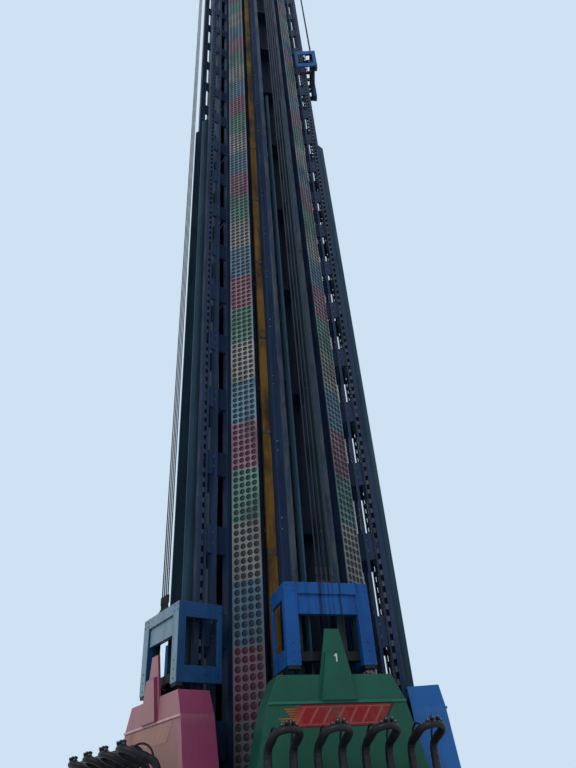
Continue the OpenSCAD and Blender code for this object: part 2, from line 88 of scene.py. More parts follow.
def dropped(obj):
    mesh = obj.data
    bpy.data.objects.remove(obj)
    if mesh.users == 0:
        bpy.data.meshes.remove(mesh)


# a plain mesh of the object with its modifiers applied
def baked(obj, name):
    bpy.context.view_layer.update()
    graph = bpy.context.evaluated_depsgraph_get()
    mesh = bpy.data.meshes.new_from_object(obj.evaluated_get(graph))
    mesh.name = name
    done = bpy.data.objects.new(name, mesh)
    bpy.context.scene.collection.objects.link(done)
    dropped(obj)
    done.name = name
    return done


def joined(objs, name):
    work = bmesh.new()
    for obj in objs:
        work.from_mesh(obj.data)
    mesh = bpy.data.meshes.new(name)
    materials = objs[0].data.materials[:]
    work.to_mesh(mesh)
    work.free()
    for m in materials:
        mesh.materials.append(m)
    for obj in objs:
        dropped(obj)
    done = bpy.data.objects.new(name, mesh)
    bpy.context.scene.collection.objects.link(done)
    return done


def outwards(obj):
    work = bmesh.new()
    work.from_mesh(obj.data)
    bmesh.ops.remove_doubles(work, verts=work.verts, dist=1e-5)
    bmesh.ops.recalc_face_normals(work, faces=work.faces)
    work.to_mesh(obj.data)
    work.free()
    return obj


def boxMesh(name, low, high):
    x0, y0, z0 = low
    x1, y1, z1 = high
    verts = [(x, y, z) for z in (z0, z1) for y in (y0, y1) for x in (x0, x1)]
    polys = [(0, 2, 3, 1), (4, 5, 7, 6), (0, 1, 5, 4), (2, 6, 7, 3), (0, 4, 6, 2), (1, 3, 7, 5)]
    return meshObject(name, verts, polys)


# a closed prism with n sides between two points
def rodMesh(name, start, end, radius, sides=12, smooth=True):
    a, b = Vector(start), Vector(end)
    turn = (b - a).to_track_quat("Z", "Y").to_matrix()
    ring = [turn @ Vector((math.cos(t), math.sin(t), 0)) * radius
            for t in (2 * math.pi * i / sides for i in range(sides))]
    verts = [a + p for p in ring] + [b + p for p in ring]
    polys = [(i, (i + 1) % sides, sides + (i + 1) % sides, sides + i) for i in range(sides)]
    polys += [tuple(reversed(range(sides))), tuple(range(sides, 2 * sides))]
    obj = meshObject(name, verts, polys)
    for p in obj.data.polygons:
        p.use_smooth = smooth and len(p.vertices) == 4
    return obj


# a solid of revolution about the line through centre along axis, profile = (along, radius)
def latheMesh(name, centre, axis, profile, sides=40):
    turn = Vector(axis).to_track_quat("Z", "Y").to_matrix()
    c = Vector(centre)
    verts = []
    for along, radius in profile:
        for i in range(sides):
            t = 2 * math.pi * i / sides
            verts.append(c + turn @ Vector((radius * math.cos(t), radius * math.sin(t), along)))
    polys = []
    for j in range(len(profile) - 1):
        for i in range(sides):
            n = (i + 1) % sides
            polys.append((j * sides + i, j * sides + n, (j + 1) * sides + n, (j + 1) * sides + i))
    polys.append(tuple(reversed(range(sides))))
    polys.append(tuple(range((len(profile) - 1) * sides, len(profile) * sides)))
    return outwards(meshObject(name, verts, polys))


# a tube along points with a radius at each, closed at both ends
def sweptMesh(name, points, radii, sides=14):
    points = [Vector(p) for p in points]
    verts, polys = [], []
    up = Vector((0, 0, 1))
    tangent = (points[1] - points[0]).normalized()
    side = tangent.cross(up if abs(tangent.z) < 0.9 else Vector((1, 0, 0))).normalized()
    for i, p in enumerate(points):
        ahead = points[min(i + 1, len(points) - 1)] - points[max(i - 1, 0)]
        tangent = ahead.normalized()
        side = (side - tangent * side.dot(tangent)).normalized()
        other = tangent.cross(side)
        for j in range(sides):
            t = 2 * math.pi * j / sides
            verts.append(p + (side * math.cos(t) + other * math.sin(t)) * radii[i])
    for i in range(len(points) - 1):
        for j in range(sides):
            n = (j + 1) % sides
            polys.append((i * sides + j, i * sides + n, (i + 1) * sides + n, (i + 1) * sides + j))
    polys.append(tuple(reversed(range(sides))))
    polys.append(tuple(range((len(points) - 1) * sides, len(points) * sides)))
    return outwards(meshObject(name, verts, polys, smooth=True))


# Geometry Nodes: copies of the object's own mesh along a line, with one material
def copiesTree():
    tree = bpy.data.node_groups.new("copiesOnLine", "GeometryNodeTree")
    face = tree.interface
    face.new_socket("Geometry", in_out="INPUT", socket_type="NodeSocketGeometry")
    face.new_socket("Count", in_out="INPUT", socket_type="NodeSocketInt")
    face.new_socket("Step", in_out="INPUT", socket_type="NodeSocketVector")
    face.new_socket("Material", in_out="INPUT", socket_type="NodeSocketMaterial")
    face.new_socket("Geometry", in_out="OUTPUT", socket_type="NodeSocketGeometry")
    inputs = tree.nodes.new("NodeGroupInput")
    outputs = tree.nodes.new("NodeGroupOutput")
    line = tree.nodes.new("GeometryNodeMeshLine")
    line.mode = "OFFSET"
    place = tree.nodes.new("GeometryNodeInstanceOnPoints")
    real = tree.nodes.new("GeometryNodeRealizeInstances")
    paint = tree.nodes.new("GeometryNodeSetMaterial")
    link = tree.links.new
    link(inputs.outputs["Count"], line.inputs["Count"])
    link(inputs.outputs["Step"], line.inputs["Offset"])
    link(line.outputs["Mesh"], place.inputs["Points"])
    link(inputs.outputs["Geometry"], place.inputs["Instance"])
    link(place.outputs["Instances"], real.inputs["Geometry"])
    link(real.outputs["Geometry"], paint.inputs["Geometry"])
    link(inputs.outputs["Material"], paint.inputs["Material"])
    link(paint.outputs["Geometry"], outputs.inputs["Geometry"])
    return tree


copies = copiesTree()
copiesSocket = {s.name: s.identifier for s in copies.interface.items_tree if s.in_out == "INPUT"}


def repeated(unit, name, material, *steps):
    for number, (count, step) in enumerate(steps):
        mod = unit.modifiers.new(f"copies{number}", "NODES")
        mod[copiesSocket["Count"]] = count
        mod[copiesSocket["Step"]] = step
        mod[copiesSocket["Material"]] = material
        mod.node_group = copies
        mod[copiesSocket["Count"]] = count
        mod[copiesSocket["Step"]] = step
        mod[copiesSocket["Material"]] = material
    return baked(unit, name)


def onlyMaterial(obj, material):
    obj.data.materials.clear()
    obj.data.materials.append(material)
    for p in obj.data.polygons:
        p.material_index = 0
    return obj


# copies of a front piece for all faces, each riding on its own body
def onEveryFace(obj, name, bodyOf, materialOf=None, slotName=None, corner=0.0):
    made = {}
    for face, k in faces.items():
        mesh = obj.data.copy()
        mesh.transform(turnOf(k + corner))
        piece = bpy.data.objects.new(f"{face}_{name}", mesh)
        bpy.context.scene.collection.objects.link(piece)
        if materialOf:
            onlyMaterial(piece, materialOf(face, k))
        body = bodyOf(face)
        if body:
            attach(piece, body)
        if slotName:
            slotName(face) if callable(slotName) else slotName
        made[face] = piece
    dropped(obj)
    return made


# materials

def addNode(tree, kind, values=None, **settings):
    node = tree.nodes.new(kind)
    for key, value in settings.items():
        setattr(node, key, value)
    for key, value in (values or {}).items():
        socket = node.inputs[key]
        if isinstance(value, bpy.types.NodeSocket):
            tree.links.new(value, socket)
        else:
            socket.default_value = value
    return node


def rgb(colour):
    return (*colour, 1.0)


def mathNode(tree, operation, a, b=0.0, clamp=False):
    node = addNode(tree, "ShaderNodeMath", {0: a, 1: b}, operation=operation, use_clamp=clamp)
    return node.outputs[0]


def mixColour(tree, factor, a, b, blend="MIX"):
    node = tree.nodes.new("ShaderNodeMix")
    node.data_type = "RGBA"
    node.blend_type = blend
    for index, value in ((0, factor), (6, a), (7, b)):
        socket = node.inputs[index]
        if isinstance(value, bpy.types.NodeSocket):
            tree.links.new(value, socket)
        else:
            socket.default_value = value
    return node.outputs[2]


# 0 to 1 between low and high
def ramp(tree, value, low, high):
    node = addNode(tree, "ShaderNodeMapRange", {0: value, 1: low, 2: high, 3: 0.0, 4: 1.0})
    return node.outputs[0]


def newMaterial(name):
    material = bpy.data.materials.new(name)
    material.use_nodes = True
    tree = material.node_tree
    tree.nodes.clear()
    out = tree.nodes.new("ShaderNodeOutputMaterial")
    shader = tree.nodes.new("ShaderNodeBsdfPrincipled")
    tree.links.new(shader.outputs[0], out.inputs[0])
    return material, tree, shader


# object coordinates turned to face k: x along the face, -y away from the axis, z up
def facePlace(tree, k):
    place = addNode(tree, "ShaderNodeTexCoord").outputs["Object"]
    if k:
        turned = addNode(tree, "ShaderNodeVectorRotate",
                         {"Vector": place, "Angle": math.radians(-72 * k)}, rotation_type="Z_AXIS")
        place = turned.outputs[0]
    return place


def noise(tree, place, scale, stretch=(1, 1, 1), detail=4.0, rough=0.55):
    mapped = addNode(tree, "ShaderNodeMapping", {"Vector": place, "Scale": stretch}).outputs[0]
    return addNode(tree, "ShaderNodeTexNoise",
                   {"Vector": mapped, "Scale": scale, "Detail": detail, "Roughness": rough}).outputs["Fac"]


# where a rounded edge would be, from the bevel normal
def edgeMask(tree, radius):
    bevel = addNode(tree, "ShaderNodeBevel", {"Radius": radius}, samples=4).outputs[0]
    normal = addNode(tree, "ShaderNodeNewGeometry").outputs["True Normal"]
    dot = addNode(tree, "ShaderNodeVectorMath", {0: bevel, 1: normal},
                  operation="DOT_PRODUCT").outputs["Value"]
    return bevel, ramp(tree, dot, 0.995, 0.85)


# painted steel: streaks of dirt, stains, chipped edges and a slightly uneven coat
def paintedSteel(name, look, k=0):
    material, tree, shader = newMaterial(name)
    place = facePlace(tree, k)
    colour = mixColour(tree, ramp(tree, noise(tree, place, 1.6, detail=5), 0.35, 0.7),
                       rgb(look["paint"]), rgb(look["faded"]))
    streaks = ramp(tree, noise(tree, place, 14.0, (1, 1, 0.05), 6, 0.6), 0.48, 0.78)
    streaks = mathNode(tree, "MULTIPLY", streaks, look.get("dirt", 0.6))
    colour = mixColour(tree, streaks, colour, rgb(look["grime"]))
    spots = ramp(tree, noise(tree, place, 38.0, (1, 1, 0.6), 8, 0.65), 0.62, 0.72)
    spots = mathNode(tree, "MULTIPLY", spots, look.get("spots", 0.35))
    colour = mixColour(tree, spots, colour, rgb(look.get("rust", (0.10, 0.045, 0.02))))
    bevel, edge = edgeMask(tree, look.get("edge", 0.003))
    chipped = mathNode(tree, "MULTIPLY", edge, ramp(tree, noise(tree, place, 30.0, detail=6), 0.46, 0.60))
    chipped = mathNode(tree, "MULTIPLY", chipped, look.get("wear", 0.6))
    colour = mixColour(tree, chipped, colour, rgb(look.get("bare", (0.20, 0.20, 0.19))))
    for extra in look.get("extras", ()):
        colour = extra(tree, place, colour)
    dull = min(look["rough"] + 0.3, 0.95)
    rough = addNode(tree, "ShaderNodeMapRange",
                    {0: streaks, 1: 0.0, 2: 0.6, 3: look["rough"], 4: dull}).outputs[0]
    height = mathNode(tree, "ADD", mathNode(tree, "MULTIPLY", noise(tree, place, 160.0, detail=3), 0.5),
                      mathNode(tree, "MULTIPLY", spots, -0.8))
    bump = addNode(tree, "ShaderNodeBump",
                   {"Height": height, "Normal": bevel, "Strength": look.get("bump", 0.12), "Distance": 0.002})
    tree.links.new(colour, shader.inputs["Base Color"])
    tree.links.new(rough, shader.inputs["Roughness"])
    tree.links.new(bump.outputs[0], shader.inputs["Normal"])
    shader.inputs["Metallic"].default_value = look.get("metal", 0.0)
    shader.inputs["Specular IOR Level"].default_value = look.get("shine", 0.3)
    shader.inputs["Coat Weight"].default_value = look.get("coat", 0.0)
    shader.inputs["Coat Roughness"].default_value = 0.25
    return material


# the worn greasy front of the guide rail, in the place of a ladder's face
def wornRail(tree, place, colour):
    y = addNode(tree, "ShaderNodeSeparateXYZ", {0: place}).outputs["Y"]
    front = ramp(tree, y, -(plan["railFront"] - 0.006), -(plan["railFront"] - 0.001))
    patches = ramp(tree, noise(tree, place, 22.0, (1, 1, 0.12), 7, 0.7), 0.40, 0.62)
    worn = mathNode(tree, "MULTIPLY", front, patches)
    colour = mixColour(tree, worn, colour, rgb((0.055, 0.064, 0.068)))
    grease = ramp(tree, noise(tree, place, 9.0, (1, 1, 0.35), 6, 0.6), 0.55, 0.72)
    return mixColour(tree, mathNode(tree, "MULTIPLY", front, grease), colour, rgb((0.012, 0.012, 0.014)))


# dark streaks painted down the catch frame along the lines of the lift ropes
def ropeStreaks(tree, place, colour):
    parts = addNode(tree, "ShaderNodeSeparateXYZ", {0: place})
    wander = mathNode(tree, "MULTIPLY",
                      mathNode(tree, "SUBTRACT", noise(tree, place, 5.0, (0.2, 0.2, 1), 3), 0.5), 0.02)
    x = mathNode(tree, "ADD", parts.outputs["X"], wander)
    folded = mathNode(tree, "PINGPONG", mathNode(tree, "ADD", x, plan["ropePitch"] * 10),
                      plan["ropePitch"] / 2)
    line = ramp(tree, folded, plan["ropePitch"] * 0.28, plan["ropePitch"] * 0.5)
    near = ramp(tree, mathNode(tree, "ABSOLUTE", parts.outputs["X"]), 0.085, 0.06)
    broken = ramp(tree, noise(tree, place, 8.0, (1, 1, 0.3), 5), 0.35, 0.6)
    mask = mathNode(tree, "MULTIPLY", mathNode(tree, "MULTIPLY", line, near), broken)
    # two broad dark runs beside them
    for centre, half in ((-0.045, 0.011), (0.108, 0.007)):
        away = mathNode(tree, "ABSOLUTE", mathNode(tree, "SUBTRACT", x, centre))
        run = mathNode(tree, "MULTIPLY", ramp(tree, away, half * 1.5, half), ramp(tree, broken, -0.3, 0.6))
        mask = mathNode(tree, "MAXIMUM", mask, run)
    return mixColour(tree, mathNode(tree, "MULTIPLY", mask, 0.8), colour, rgb((0.004, 0.008, 0.024)))


# painted sunlight: the foremost faces of face k are painted paler, in patches, as if lit by the sun
def sunlitFronts(k, pale, sunlitPatch):
    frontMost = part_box("front_catch_frame")[0].y

    def coat(tree, place, colour):
        facing = addNode(tree, "ShaderNodeTexCoord").outputs["Normal"]
        turned = addNode(tree, "ShaderNodeVectorRotate", {"Vector": facing, "Angle": math.radians(-72 * k)},
                         rotation_type="Z_AXIS").outputs[0]
        front = ramp(tree, addNode(tree, "ShaderNodeSeparateXYZ", {0: turned}).outputs["Y"], -0.85, -0.95)
        y = addNode(tree, "ShaderNodeSeparateXYZ", {0: place}).outputs["Y"]
        front = mathNode(tree, "MULTIPLY", front, ramp(tree, y, frontMost + 0.06, frontMost + 0.05))
        patches = ramp(tree, noise(tree, place, 7.0, (1, 1, 0.3), 6, 0.6), 0.35, 0.7)
        return mixColour(tree, front, colour, mixColour(tree, patches, rgb(pale), rgb(sunlitPatch)))
    return coat


# rust stains and soot on the ochre ducts
def ductStains(tree, place, colour):
    dark = ramp(tree, noise(tree, place, 1.9, (1.5, 1.5, 0.8), 6, 0.6), 0.45, 0.60)
    colour = mixColour(tree, mathNode(tree, "MULTIPLY", dark, 0.85), colour, rgb((0.016, 0.012, 0.011)))
    red = ramp(tree, noise(tree, place, 3.3, (1, 1, 0.5), 6, 0.6), 0.60, 0.72)
    return mixColour(tree, mathNode(tree, "MULTIPLY", red, 0.6), colour, rgb((0.065, 0.020, 0.013)))


# which of the four lamp colours a height belongs to, as colours for sheet or lens
lampBands = {
    "start": 1.338,
    "height": 0.5,
    "plain": (0.10, 0.11, 0.12),
    "sheet": [(0.135, 0.075, 0.105), (0.055, 0.115, 0.165), (0.155, 0.155, 0.150), (0.060, 0.130, 0.115)],
    "lens": [(0.030, 0.003, 0.010), (0.0015, 0.012, 0.026), (0.012, 0.012, 0.012), (0.001, 0.018, 0.013)],
}


def bandColour(tree, place, colours, below):
    z = addNode(tree, "ShaderNodeSeparateXYZ", {0: place}).outputs["Z"]
    n = mathNode(tree, "DIVIDE", mathNode(tree, "SUBTRACT", z, lampBands["start"]), lampBands["height"])
    cycle = mathNode(tree, "FRACT", mathNode(tree, "DIVIDE", n, 4.0))
    bands = addNode(tree, "ShaderNodeValToRGB", {0: cycle})
    bands.color_ramp.interpolation = "CONSTANT"
    stops = bands.color_ramp.elements
    while len(stops) < 4:
        stops.new(0.5)
    for i, stop in enumerate(stops):
        stop.position = i / 4
        stop.color = rgb(colours[i])
    isBelow = mathNode(tree, "LESS_THAN", z, lampBands["start"])
    return mixColour(tree, isBelow, bands.outputs[0], rgb(below))


def lampSheetPaint():
    material, tree, shader = newMaterial("lampSheetPaint")
    place = facePlace(tree, 0)
    colour = bandColour(tree, place, lampBands["sheet"], lampBands["plain"])
    dirt = ramp(tree, noise(tree, place, 9.0, (1, 1, 0.25), 7, 0.62), 0.42, 0.72)
    colour = mixColour(tree, mathNode(tree, "MULTIPLY", dirt, 0.55), colour, rgb((0.022, 0.025, 0.028)))
    soot = ramp(tree, noise(tree, place, 1.2, (1, 1, 0.6), 4), 0.5, 0.75)
    colour = mixColour(tree, mathNode(tree, "MULTIPLY", soot, 0.4), colour, rgb((0.026, 0.027, 0.028)))
    # painted shade: the lowest metres of the sheet are painted darker
    foot = ramp(tree, addNode(tree, "ShaderNodeSeparateXYZ", {0: place}).outputs["Z"], 3.2, 1.2)
    colour = mixColour(tree, mathNode(tree, "MULTIPLY", foot, 0.62), colour, rgb((0.014, 0.016, 0.026)))
    rough = addNode(tree, "ShaderNodeMapRange", {0: dirt, 1: 0.0, 2: 1.0, 3: 0.34, 4: 0.7}).outputs[0]
    bump = addNode(tree, "ShaderNodeBump",
                   {"Height": noise(tree, place, 60.0, detail=4), "Strength": 0.1, "Distance": 0.002})
    tree.links.new(colour, shader.inputs["Base Color"])
    tree.links.new(rough, shader.inputs["Roughness"])
    tree.links.new(bump.outputs[0], shader.inputs["Normal"])
    shader.inputs["Metallic"].default_value = 0.3
    shader.inputs["Specular IOR Level"].default_value = 0.25
    return material


def lampLensGlass():
    material, tree, shader = newMaterial("lampLensGlass")
    place = facePlace(tree, 0)
    colour = bandColour(tree, place, lampBands["lens"], (0.010, 0.012, 0.014))
    dead = ramp(tree, noise(tree, place, 7.0, detail=2), 0.52, 0.60)
    colour = mixColour(tree, mathNode(tree, "MULTIPLY", dead, 0.7), colour, rgb((0.012, 0.014, 0.018)))
    tree.links.new(colour, shader.inputs["Base Color"])
    bump = addNode(tree, "ShaderNodeBump",
                   {"Height": noise(tree, place, 260.0, detail=1), "Strength": 0.25, "Distance": 0.001})
    tree.links.new(bump.outputs[0], shader.inputs["Normal"])
    shader.inputs["Roughness"].default_value = 0.42
    shader.inputs["Specular IOR Level"].default_value = 0.15
    return material


# glass fibre shells with a gelcoat finish that the sun has dulled
def gelcoat(name, look, k):
    material, tree, shader = newMaterial(name)
    place = facePlace(tree, k)
    parts = addNode(tree, "ShaderNodeSeparateXYZ", {0: place})
    z = parts.outputs["Z"]
    colour = mixColour(tree, ramp(tree, noise(tree, place, 2.4, detail=5), 0.35, 0.7),
                       rgb(look["shell"]), rgb(look["dulled"]))
    # painted sunlight: the faces turned to the front are painted paler, as if lit by the sun, while the sides
    # keep the shell colour
    if "paintedSunlight" in look:
        facing = addNode(tree, "ShaderNodeTexCoord").outputs["Normal"]
        turned = addNode(tree, "ShaderNodeVectorRotate", {"Vector": facing, "Angle": math.radians(-72 * k)},
                         rotation_type="Z_AXIS").outputs[0]
        front = ramp(tree, addNode(tree, "ShaderNodeSeparateXYZ", {0: turned}).outputs["Y"], -0.80, -0.92)
        colour = mixColour(tree, mathNode(tree, "MULTIPLY", front, 0.9), colour, rgb(look["paintedSunlight"]))
    # the lower front is scoured and dusty
    lower = mathNode(tree, "MULTIPLY", ramp(tree, z, 1.376, 1.372),
                     ramp(tree, mathNode(tree, "ABSOLUTE", parts.outputs["X"]), 0.50, 0.46))
    worn = ramp(tree, noise(tree, place, 6.0, detail=8, rough=0.7), 0.30, 0.62)
    scoured = mathNode(tree, "MULTIPLY", lower, worn)
    colour = mixColour(tree, mathNode(tree, "MULTIPLY", scoured, look["scour"]), colour, rgb(look["dust"]))
    runs = ramp(tree, noise(tree, place, 20.0, (1, 1, 0.05), 6, 0.62), 0.52, 0.8)
    colour = mixColour(tree, mathNode(tree, "MULTIPLY", runs, 0.35), colour, rgb(look["grime"]))
    slanted = addNode(tree, "ShaderNodeMapping",
                      {"Vector": place, "Scale": (3, 3, 40), "Rotation": (0, 0.5, 0)}).outputs[0]
    scratch = addNode(tree, "ShaderNodeTexNoise",
                      {"Vector": slanted, "Scale": 9.0, "Detail": 8.0}).outputs["Fac"]
    scratch = ramp(tree, scratch, 0.66, 0.70)
    colour = mixColour(tree, mathNode(tree, "MULTIPLY", scratch, 0.3), colour, rgb(look["dulled"]))
    bevel, edge = edgeMask(tree, 0.005)
    rubbed = mathNode(tree, "MULTIPLY", edge, ramp(tree, noise(tree, place, 18.0, detail=6), 0.38, 0.6))
    colour = mixColour(tree, mathNode(tree, "MULTIPLY", rubbed, 0.5), colour, rgb(look["edge"]))
    rough = addNode(tree, "ShaderNodeMapRange",
                    {0: scoured, 1: 0.0, 2: 1.0, 3: look["rough"], 4: 0.75}).outputs[0]
    waves = mathNode(tree, "ADD", noise(tree, place, 3.5, detail=2),
                     mathNode(tree, "MULTIPLY", noise(tree, place, 90.0, detail=3), 0.06))
    bump = addNode(tree, "ShaderNodeBump",
                   {"Height": waves, "Normal": bevel, "Strength": 0.2, "Distance": 0.01})
    tree.links.new(colour, shader.inputs["Base Color"])
    tree.links.new(rough, shader.inputs["Roughness"])
    tree.links.new(bump.outputs[0], shader.inputs["Normal"])
    shader.inputs["Specular IOR Level"].default_value = 0.18
    shader.inputs["Coat Weight"].default_value = 0.06
    shader.inputs["Coat Roughness"].default_value = 0.22
    return material


# bare or greasy metal with a grain along z
def bareMetal(name, look):
    material, tree, shader = newMaterial(name)
    place = facePlace(tree, 0)
    grain = noise(tree, place, 60.0, look.get("grain", (1, 1, 0.03)), 5, 0.6)
    colour = mixColour(tree, ramp(tree, grain, 0.3, 0.7), rgb(look["dark"]), rgb(look["light"]))
    oil = ramp(tree, noise(tree, place, look.get("oilScale", 5.0), (1, 1, 0.4), 6, 0.6), 0.48, 0.68)
    colour = mixColour(tree, mathNode(tree, "MULTIPLY", oil, look.get("oil", 0.5)), colour,
                       rgb((0.015, 0.014, 0.013)))
    rough = addNode(tree, "ShaderNodeMapRange",
                    {0: grain, 1: 0.3, 2: 0.7, 3: look["rough"], 4: look["rough"] + 0.15}).outputs[0]
    bevel = addNode(tree, "ShaderNodeBevel", {"Radius": 0.002}, samples=4).outputs[0]
    bump = addNode(tree, "ShaderNodeBump",
                   {"Height": grain, "Normal": bevel, "Strength": 0.12, "Distance": 0.001})
    tree.links.new(colour, shader.inputs["Base Color"])
    tree.links.new(rough, shader.inputs["Roughness"])
    tree.links.new(bump.outputs[0], shader.inputs["Normal"])
    shader.inputs["Metallic"].default_value = look.get("metal", 0.8)
    return material


# laid strands of a wire rope, wound about the vertical
def ropeWire():
    material, tree, shader = newMaterial("ropeWire")
    place = facePlace(tree, 0)
    parts = addNode(tree, "ShaderNodeSeparateXYZ", {0: place})
    slope = mathNode(tree, "ADD", mathNode(tree, "MULTIPLY", parts.outputs["X"], 1.0),
                     mathNode(tree, "MULTIPLY", parts.outputs["Y"], 1.0))
    lay = mathNode(tree, "SINE", mathNode(tree, "MULTIPLY",
                   mathNode(tree, "ADD", mathNode(tree, "MULTIPLY", slope, 1.2), parts.outputs["Z"]), 420.0))
    # painted shade in the grooves between the strands and a painted highlight on their crowns
    light = ramp(tree, lay, -0.8, 0.9)
    colour = mixColour(tree, light, rgb((0.012, 0.012, 0.013)), rgb((0.070, 0.072, 0.075)))
    bump = addNode(tree, "ShaderNodeBump", {"Height": light, "Strength": 0.6, "Distance": 0.002})
    tree.links.new(colour, shader.inputs["Base Color"])
    tree.links.new(bump.outputs[0], shader.inputs["Normal"])
    shader.inputs["Metallic"].default_value = 0.6
    shader.inputs["Roughness"].default_value = 0.42
    return material


# moulded plastic, rubber and padded vinyl: colour, fine grain and soft creases
def softSkin(name, look):
    material, tree, shader = newMaterial(name)
    place = facePlace(tree, 0)
    colour = mixColour(tree, ramp(tree, noise(tree, place, 5.0, detail=5), 0.35, 0.7),
                       rgb(look["skin"]), rgb(look["rubbed"]))
    dust = ramp(tree, noise(tree, place, 13.0, detail=8, rough=0.7), 0.58, 0.74)
    colour = mixColour(tree, mathNode(tree, "MULTIPLY", dust, look.get("dust", 0.3)), colour,
                       rgb((0.13, 0.12, 0.11)))
    grain = addNode(tree, "ShaderNodeTexVoronoi",
                    {"Vector": place, "Scale": look["grain"]}).outputs["Distance"]
    creases = noise(tree, place, look.get("creases", 12.0), look.get("creaseStretch", (1, 1, 2)), 3, 0.5)
    height = mathNode(tree, "ADD", mathNode(tree, "MULTIPLY", grain, 0.12),
                      mathNode(tree, "MULTIPLY", creases, look.get("creaseDepth", 0.5)))
    bump = addNode(tree, "ShaderNodeBump",
                   {"Height": height, "Strength": look.get("bump", 0.3), "Distance": 0.004})
    tree.links.new(colour, shader.inputs["Base Color"])
    tree.links.new(bump.outputs[0], shader.inputs["Normal"])
    shader.inputs["Roughness"].default_value = look["rough"]
    shader.inputs["Specular IOR Level"].default_value = look.get("shine", 0.35)
    shader.inputs["Coat Weight"].default_value = look.get("coat", 0.0)
    shader.inputs["Coat Roughness"].default_value = 0.35
    return material


# flat printed vinyl on the shells, which may turn to another colour between two places along face k
def vinyl(name, colour, worn, k=0, fade=None):
    material, tree, shader = newMaterial(name)
    place = facePlace(tree, k)
    patches = ramp(tree, noise(tree, place, 14.0, (1, 1, 0.4), 7, 0.7), 0.5, 0.72)
    printed = rgb(colour)
    if fade:
        x = addNode(tree, "ShaderNodeSeparateXYZ", {0: place}).outputs["X"]
        printed = mixColour(tree, ramp(tree, x, fade["from"], fade["to"]), rgb(fade["colour"]), rgb(colour))
    mixed = mixColour(tree, mathNode(tree, "MULTIPLY", patches, 0.55), printed, rgb(worn))
    tree.links.new(mixed, shader.inputs["Base Color"])
    shader.inputs["Roughness"].default_value = 0.45
    shader.inputs["Specular IOR Level"].default_value = 0.2
    return material


navyLook = {
    "paint": (0.010, 0.024, 0.062), "faded": (0.017, 0.038, 0.088), "grime": (0.006, 0.008, 0.013),
    "dirt": 0.75, "spots": 0.45, "rough": 0.45, "wear": 0.35, "bare": (0.07, 0.08, 0.09), "edge": 0.003,
    "shine": 0.12,
}
catchLook = {
    "paint": (0.003, 0.050, 0.20), "faded": (0.009, 0.080, 0.28), "grime": (0.003, 0.010, 0.036),
    "dirt": 0.7, "spots": 0.25, "rough": 0.40, "wear": 0.8, "bare": (0.10, 0.18, 0.27), "edge": 0.006,
    "shine": 0.14, "extras": [ropeStreaks],
}
# painted shade and light: the left catch car takes a darker copy of the catch paint for its shaded sides, and
# its front faces are painted paler as painted sunlight
shadedCatchLook = dict(catchLook, paint=(0.003, 0.035, 0.115), faded=(0.007, 0.055, 0.16),
                     extras=[ropeStreaks, sunlitFronts(faces["left"], (0.13, 0.20, 0.26), (0.19, 0.27, 0.33))])
headLook = dict(navyLook, paint=(0.07, 0.085, 0.11), faded=(0.11, 0.12, 0.14), wear=0.5)
foundationLook = dict(navyLook, paint=(0.085, 0.09, 0.10), faded=(0.13, 0.13, 0.13),
                      grime=(0.03, 0.028, 0.025), rough=0.6, wear=0.6)
ductLook = {
    "paint": (0.125, 0.068, 0.013), "faded": (0.17, 0.10, 0.023), "grime": (0.018, 0.012, 0.008),
    "dirt": 0.85, "spots": 0.8, "rough": 0.5, "wear": 0.7, "bare": (0.16, 0.10, 0.06), "edge": 0.003,
    "shine": 0.12, "extras": [ductStains],
}
finLook = dict(navyLook, paint=(0.014, 0.037, 0.062), faded=(0.022, 0.054, 0.085),
               grime=(0.007, 0.012, 0.018), bare=(0.14, 0.17, 0.18), metal=0.15, rough=0.40, wear=0.7,
               dirt=0.7)
greasyLook = dict(navyLook, paint=(0.008, 0.010, 0.014), faded=(0.014, 0.017, 0.021),
                  grime=(0.003, 0.003, 0.004), bare=(0.06, 0.058, 0.055), rough=0.40, wear=0.9, spots=0.7,
                  dirt=0.9, shine=0.15)
machineLook = dict(navyLook, paint=(0.16, 0.18, 0.19), faded=(0.22, 0.24, 0.25), grime=(0.02, 0.02, 0.02),
                   rough=0.45, wear=0.8, bare=(0.25, 0.25, 0.24))

shellLooks = {
    "front": {"shell": (0.002, 0.052, 0.032), "dulled": (0.005, 0.074, 0.048), "dust": (0.020, 0.085, 0.055),
              "grime": (0.002, 0.020, 0.014), "edge": (0.030, 0.16, 0.11),
              "bead": (0.008, 0.11, 0.070), "scour": 0.35, "rough": 0.42},
    "right": {"shell": (0.004, 0.066, 0.24), "dulled": (0.010, 0.095, 0.30), "dust": (0.07, 0.13, 0.22),
              "grime": (0.004, 0.022, 0.075), "edge": (0.09, 0.22, 0.38),
              "bead": (0.010, 0.085, 0.27), "scour": 0.4, "rough": 0.42},
    "rear_right": {"shell": (0.42, 0.25, 0.015), "dulled": (0.50, 0.32, 0.04), "dust": (0.38, 0.28, 0.14),
                   "grime": (0.12, 0.065, 0.012), "edge": (0.56, 0.42, 0.16),
                   "bead": (0.52, 0.35, 0.07), "scour": 0.4, "rough": 0.42},
    "rear_left": {"shell": (0.26, 0.014, 0.011), "dulled": (0.33, 0.035, 0.025), "dust": (0.27, 0.12, 0.085),
                  "grime": (0.07, 0.006, 0.006), "edge": (0.42, 0.13, 0.10),
                  "bead": (0.36, 0.06, 0.045), "scour": 0.4, "rough": 0.42},
    # the left shell is coloured as its shaded sides, painted shade, and its front faces take a paler colour
    # as painted sunlight
    "left": {"shell": (0.155, 0.024, 0.070), "dulled": (0.200, 0.040, 0.095), "dust": (0.235, 0.145, 0.125),
             "grime": (0.060, 0.010, 0.026), "edge": (0.40, 0.20, 0.25),
              "bead": (0.52, 0.30, 0.34), "scour": 0.85, "rough": 0.45,
             "paintedSunlight": (0.31, 0.150, 0.160)},
}

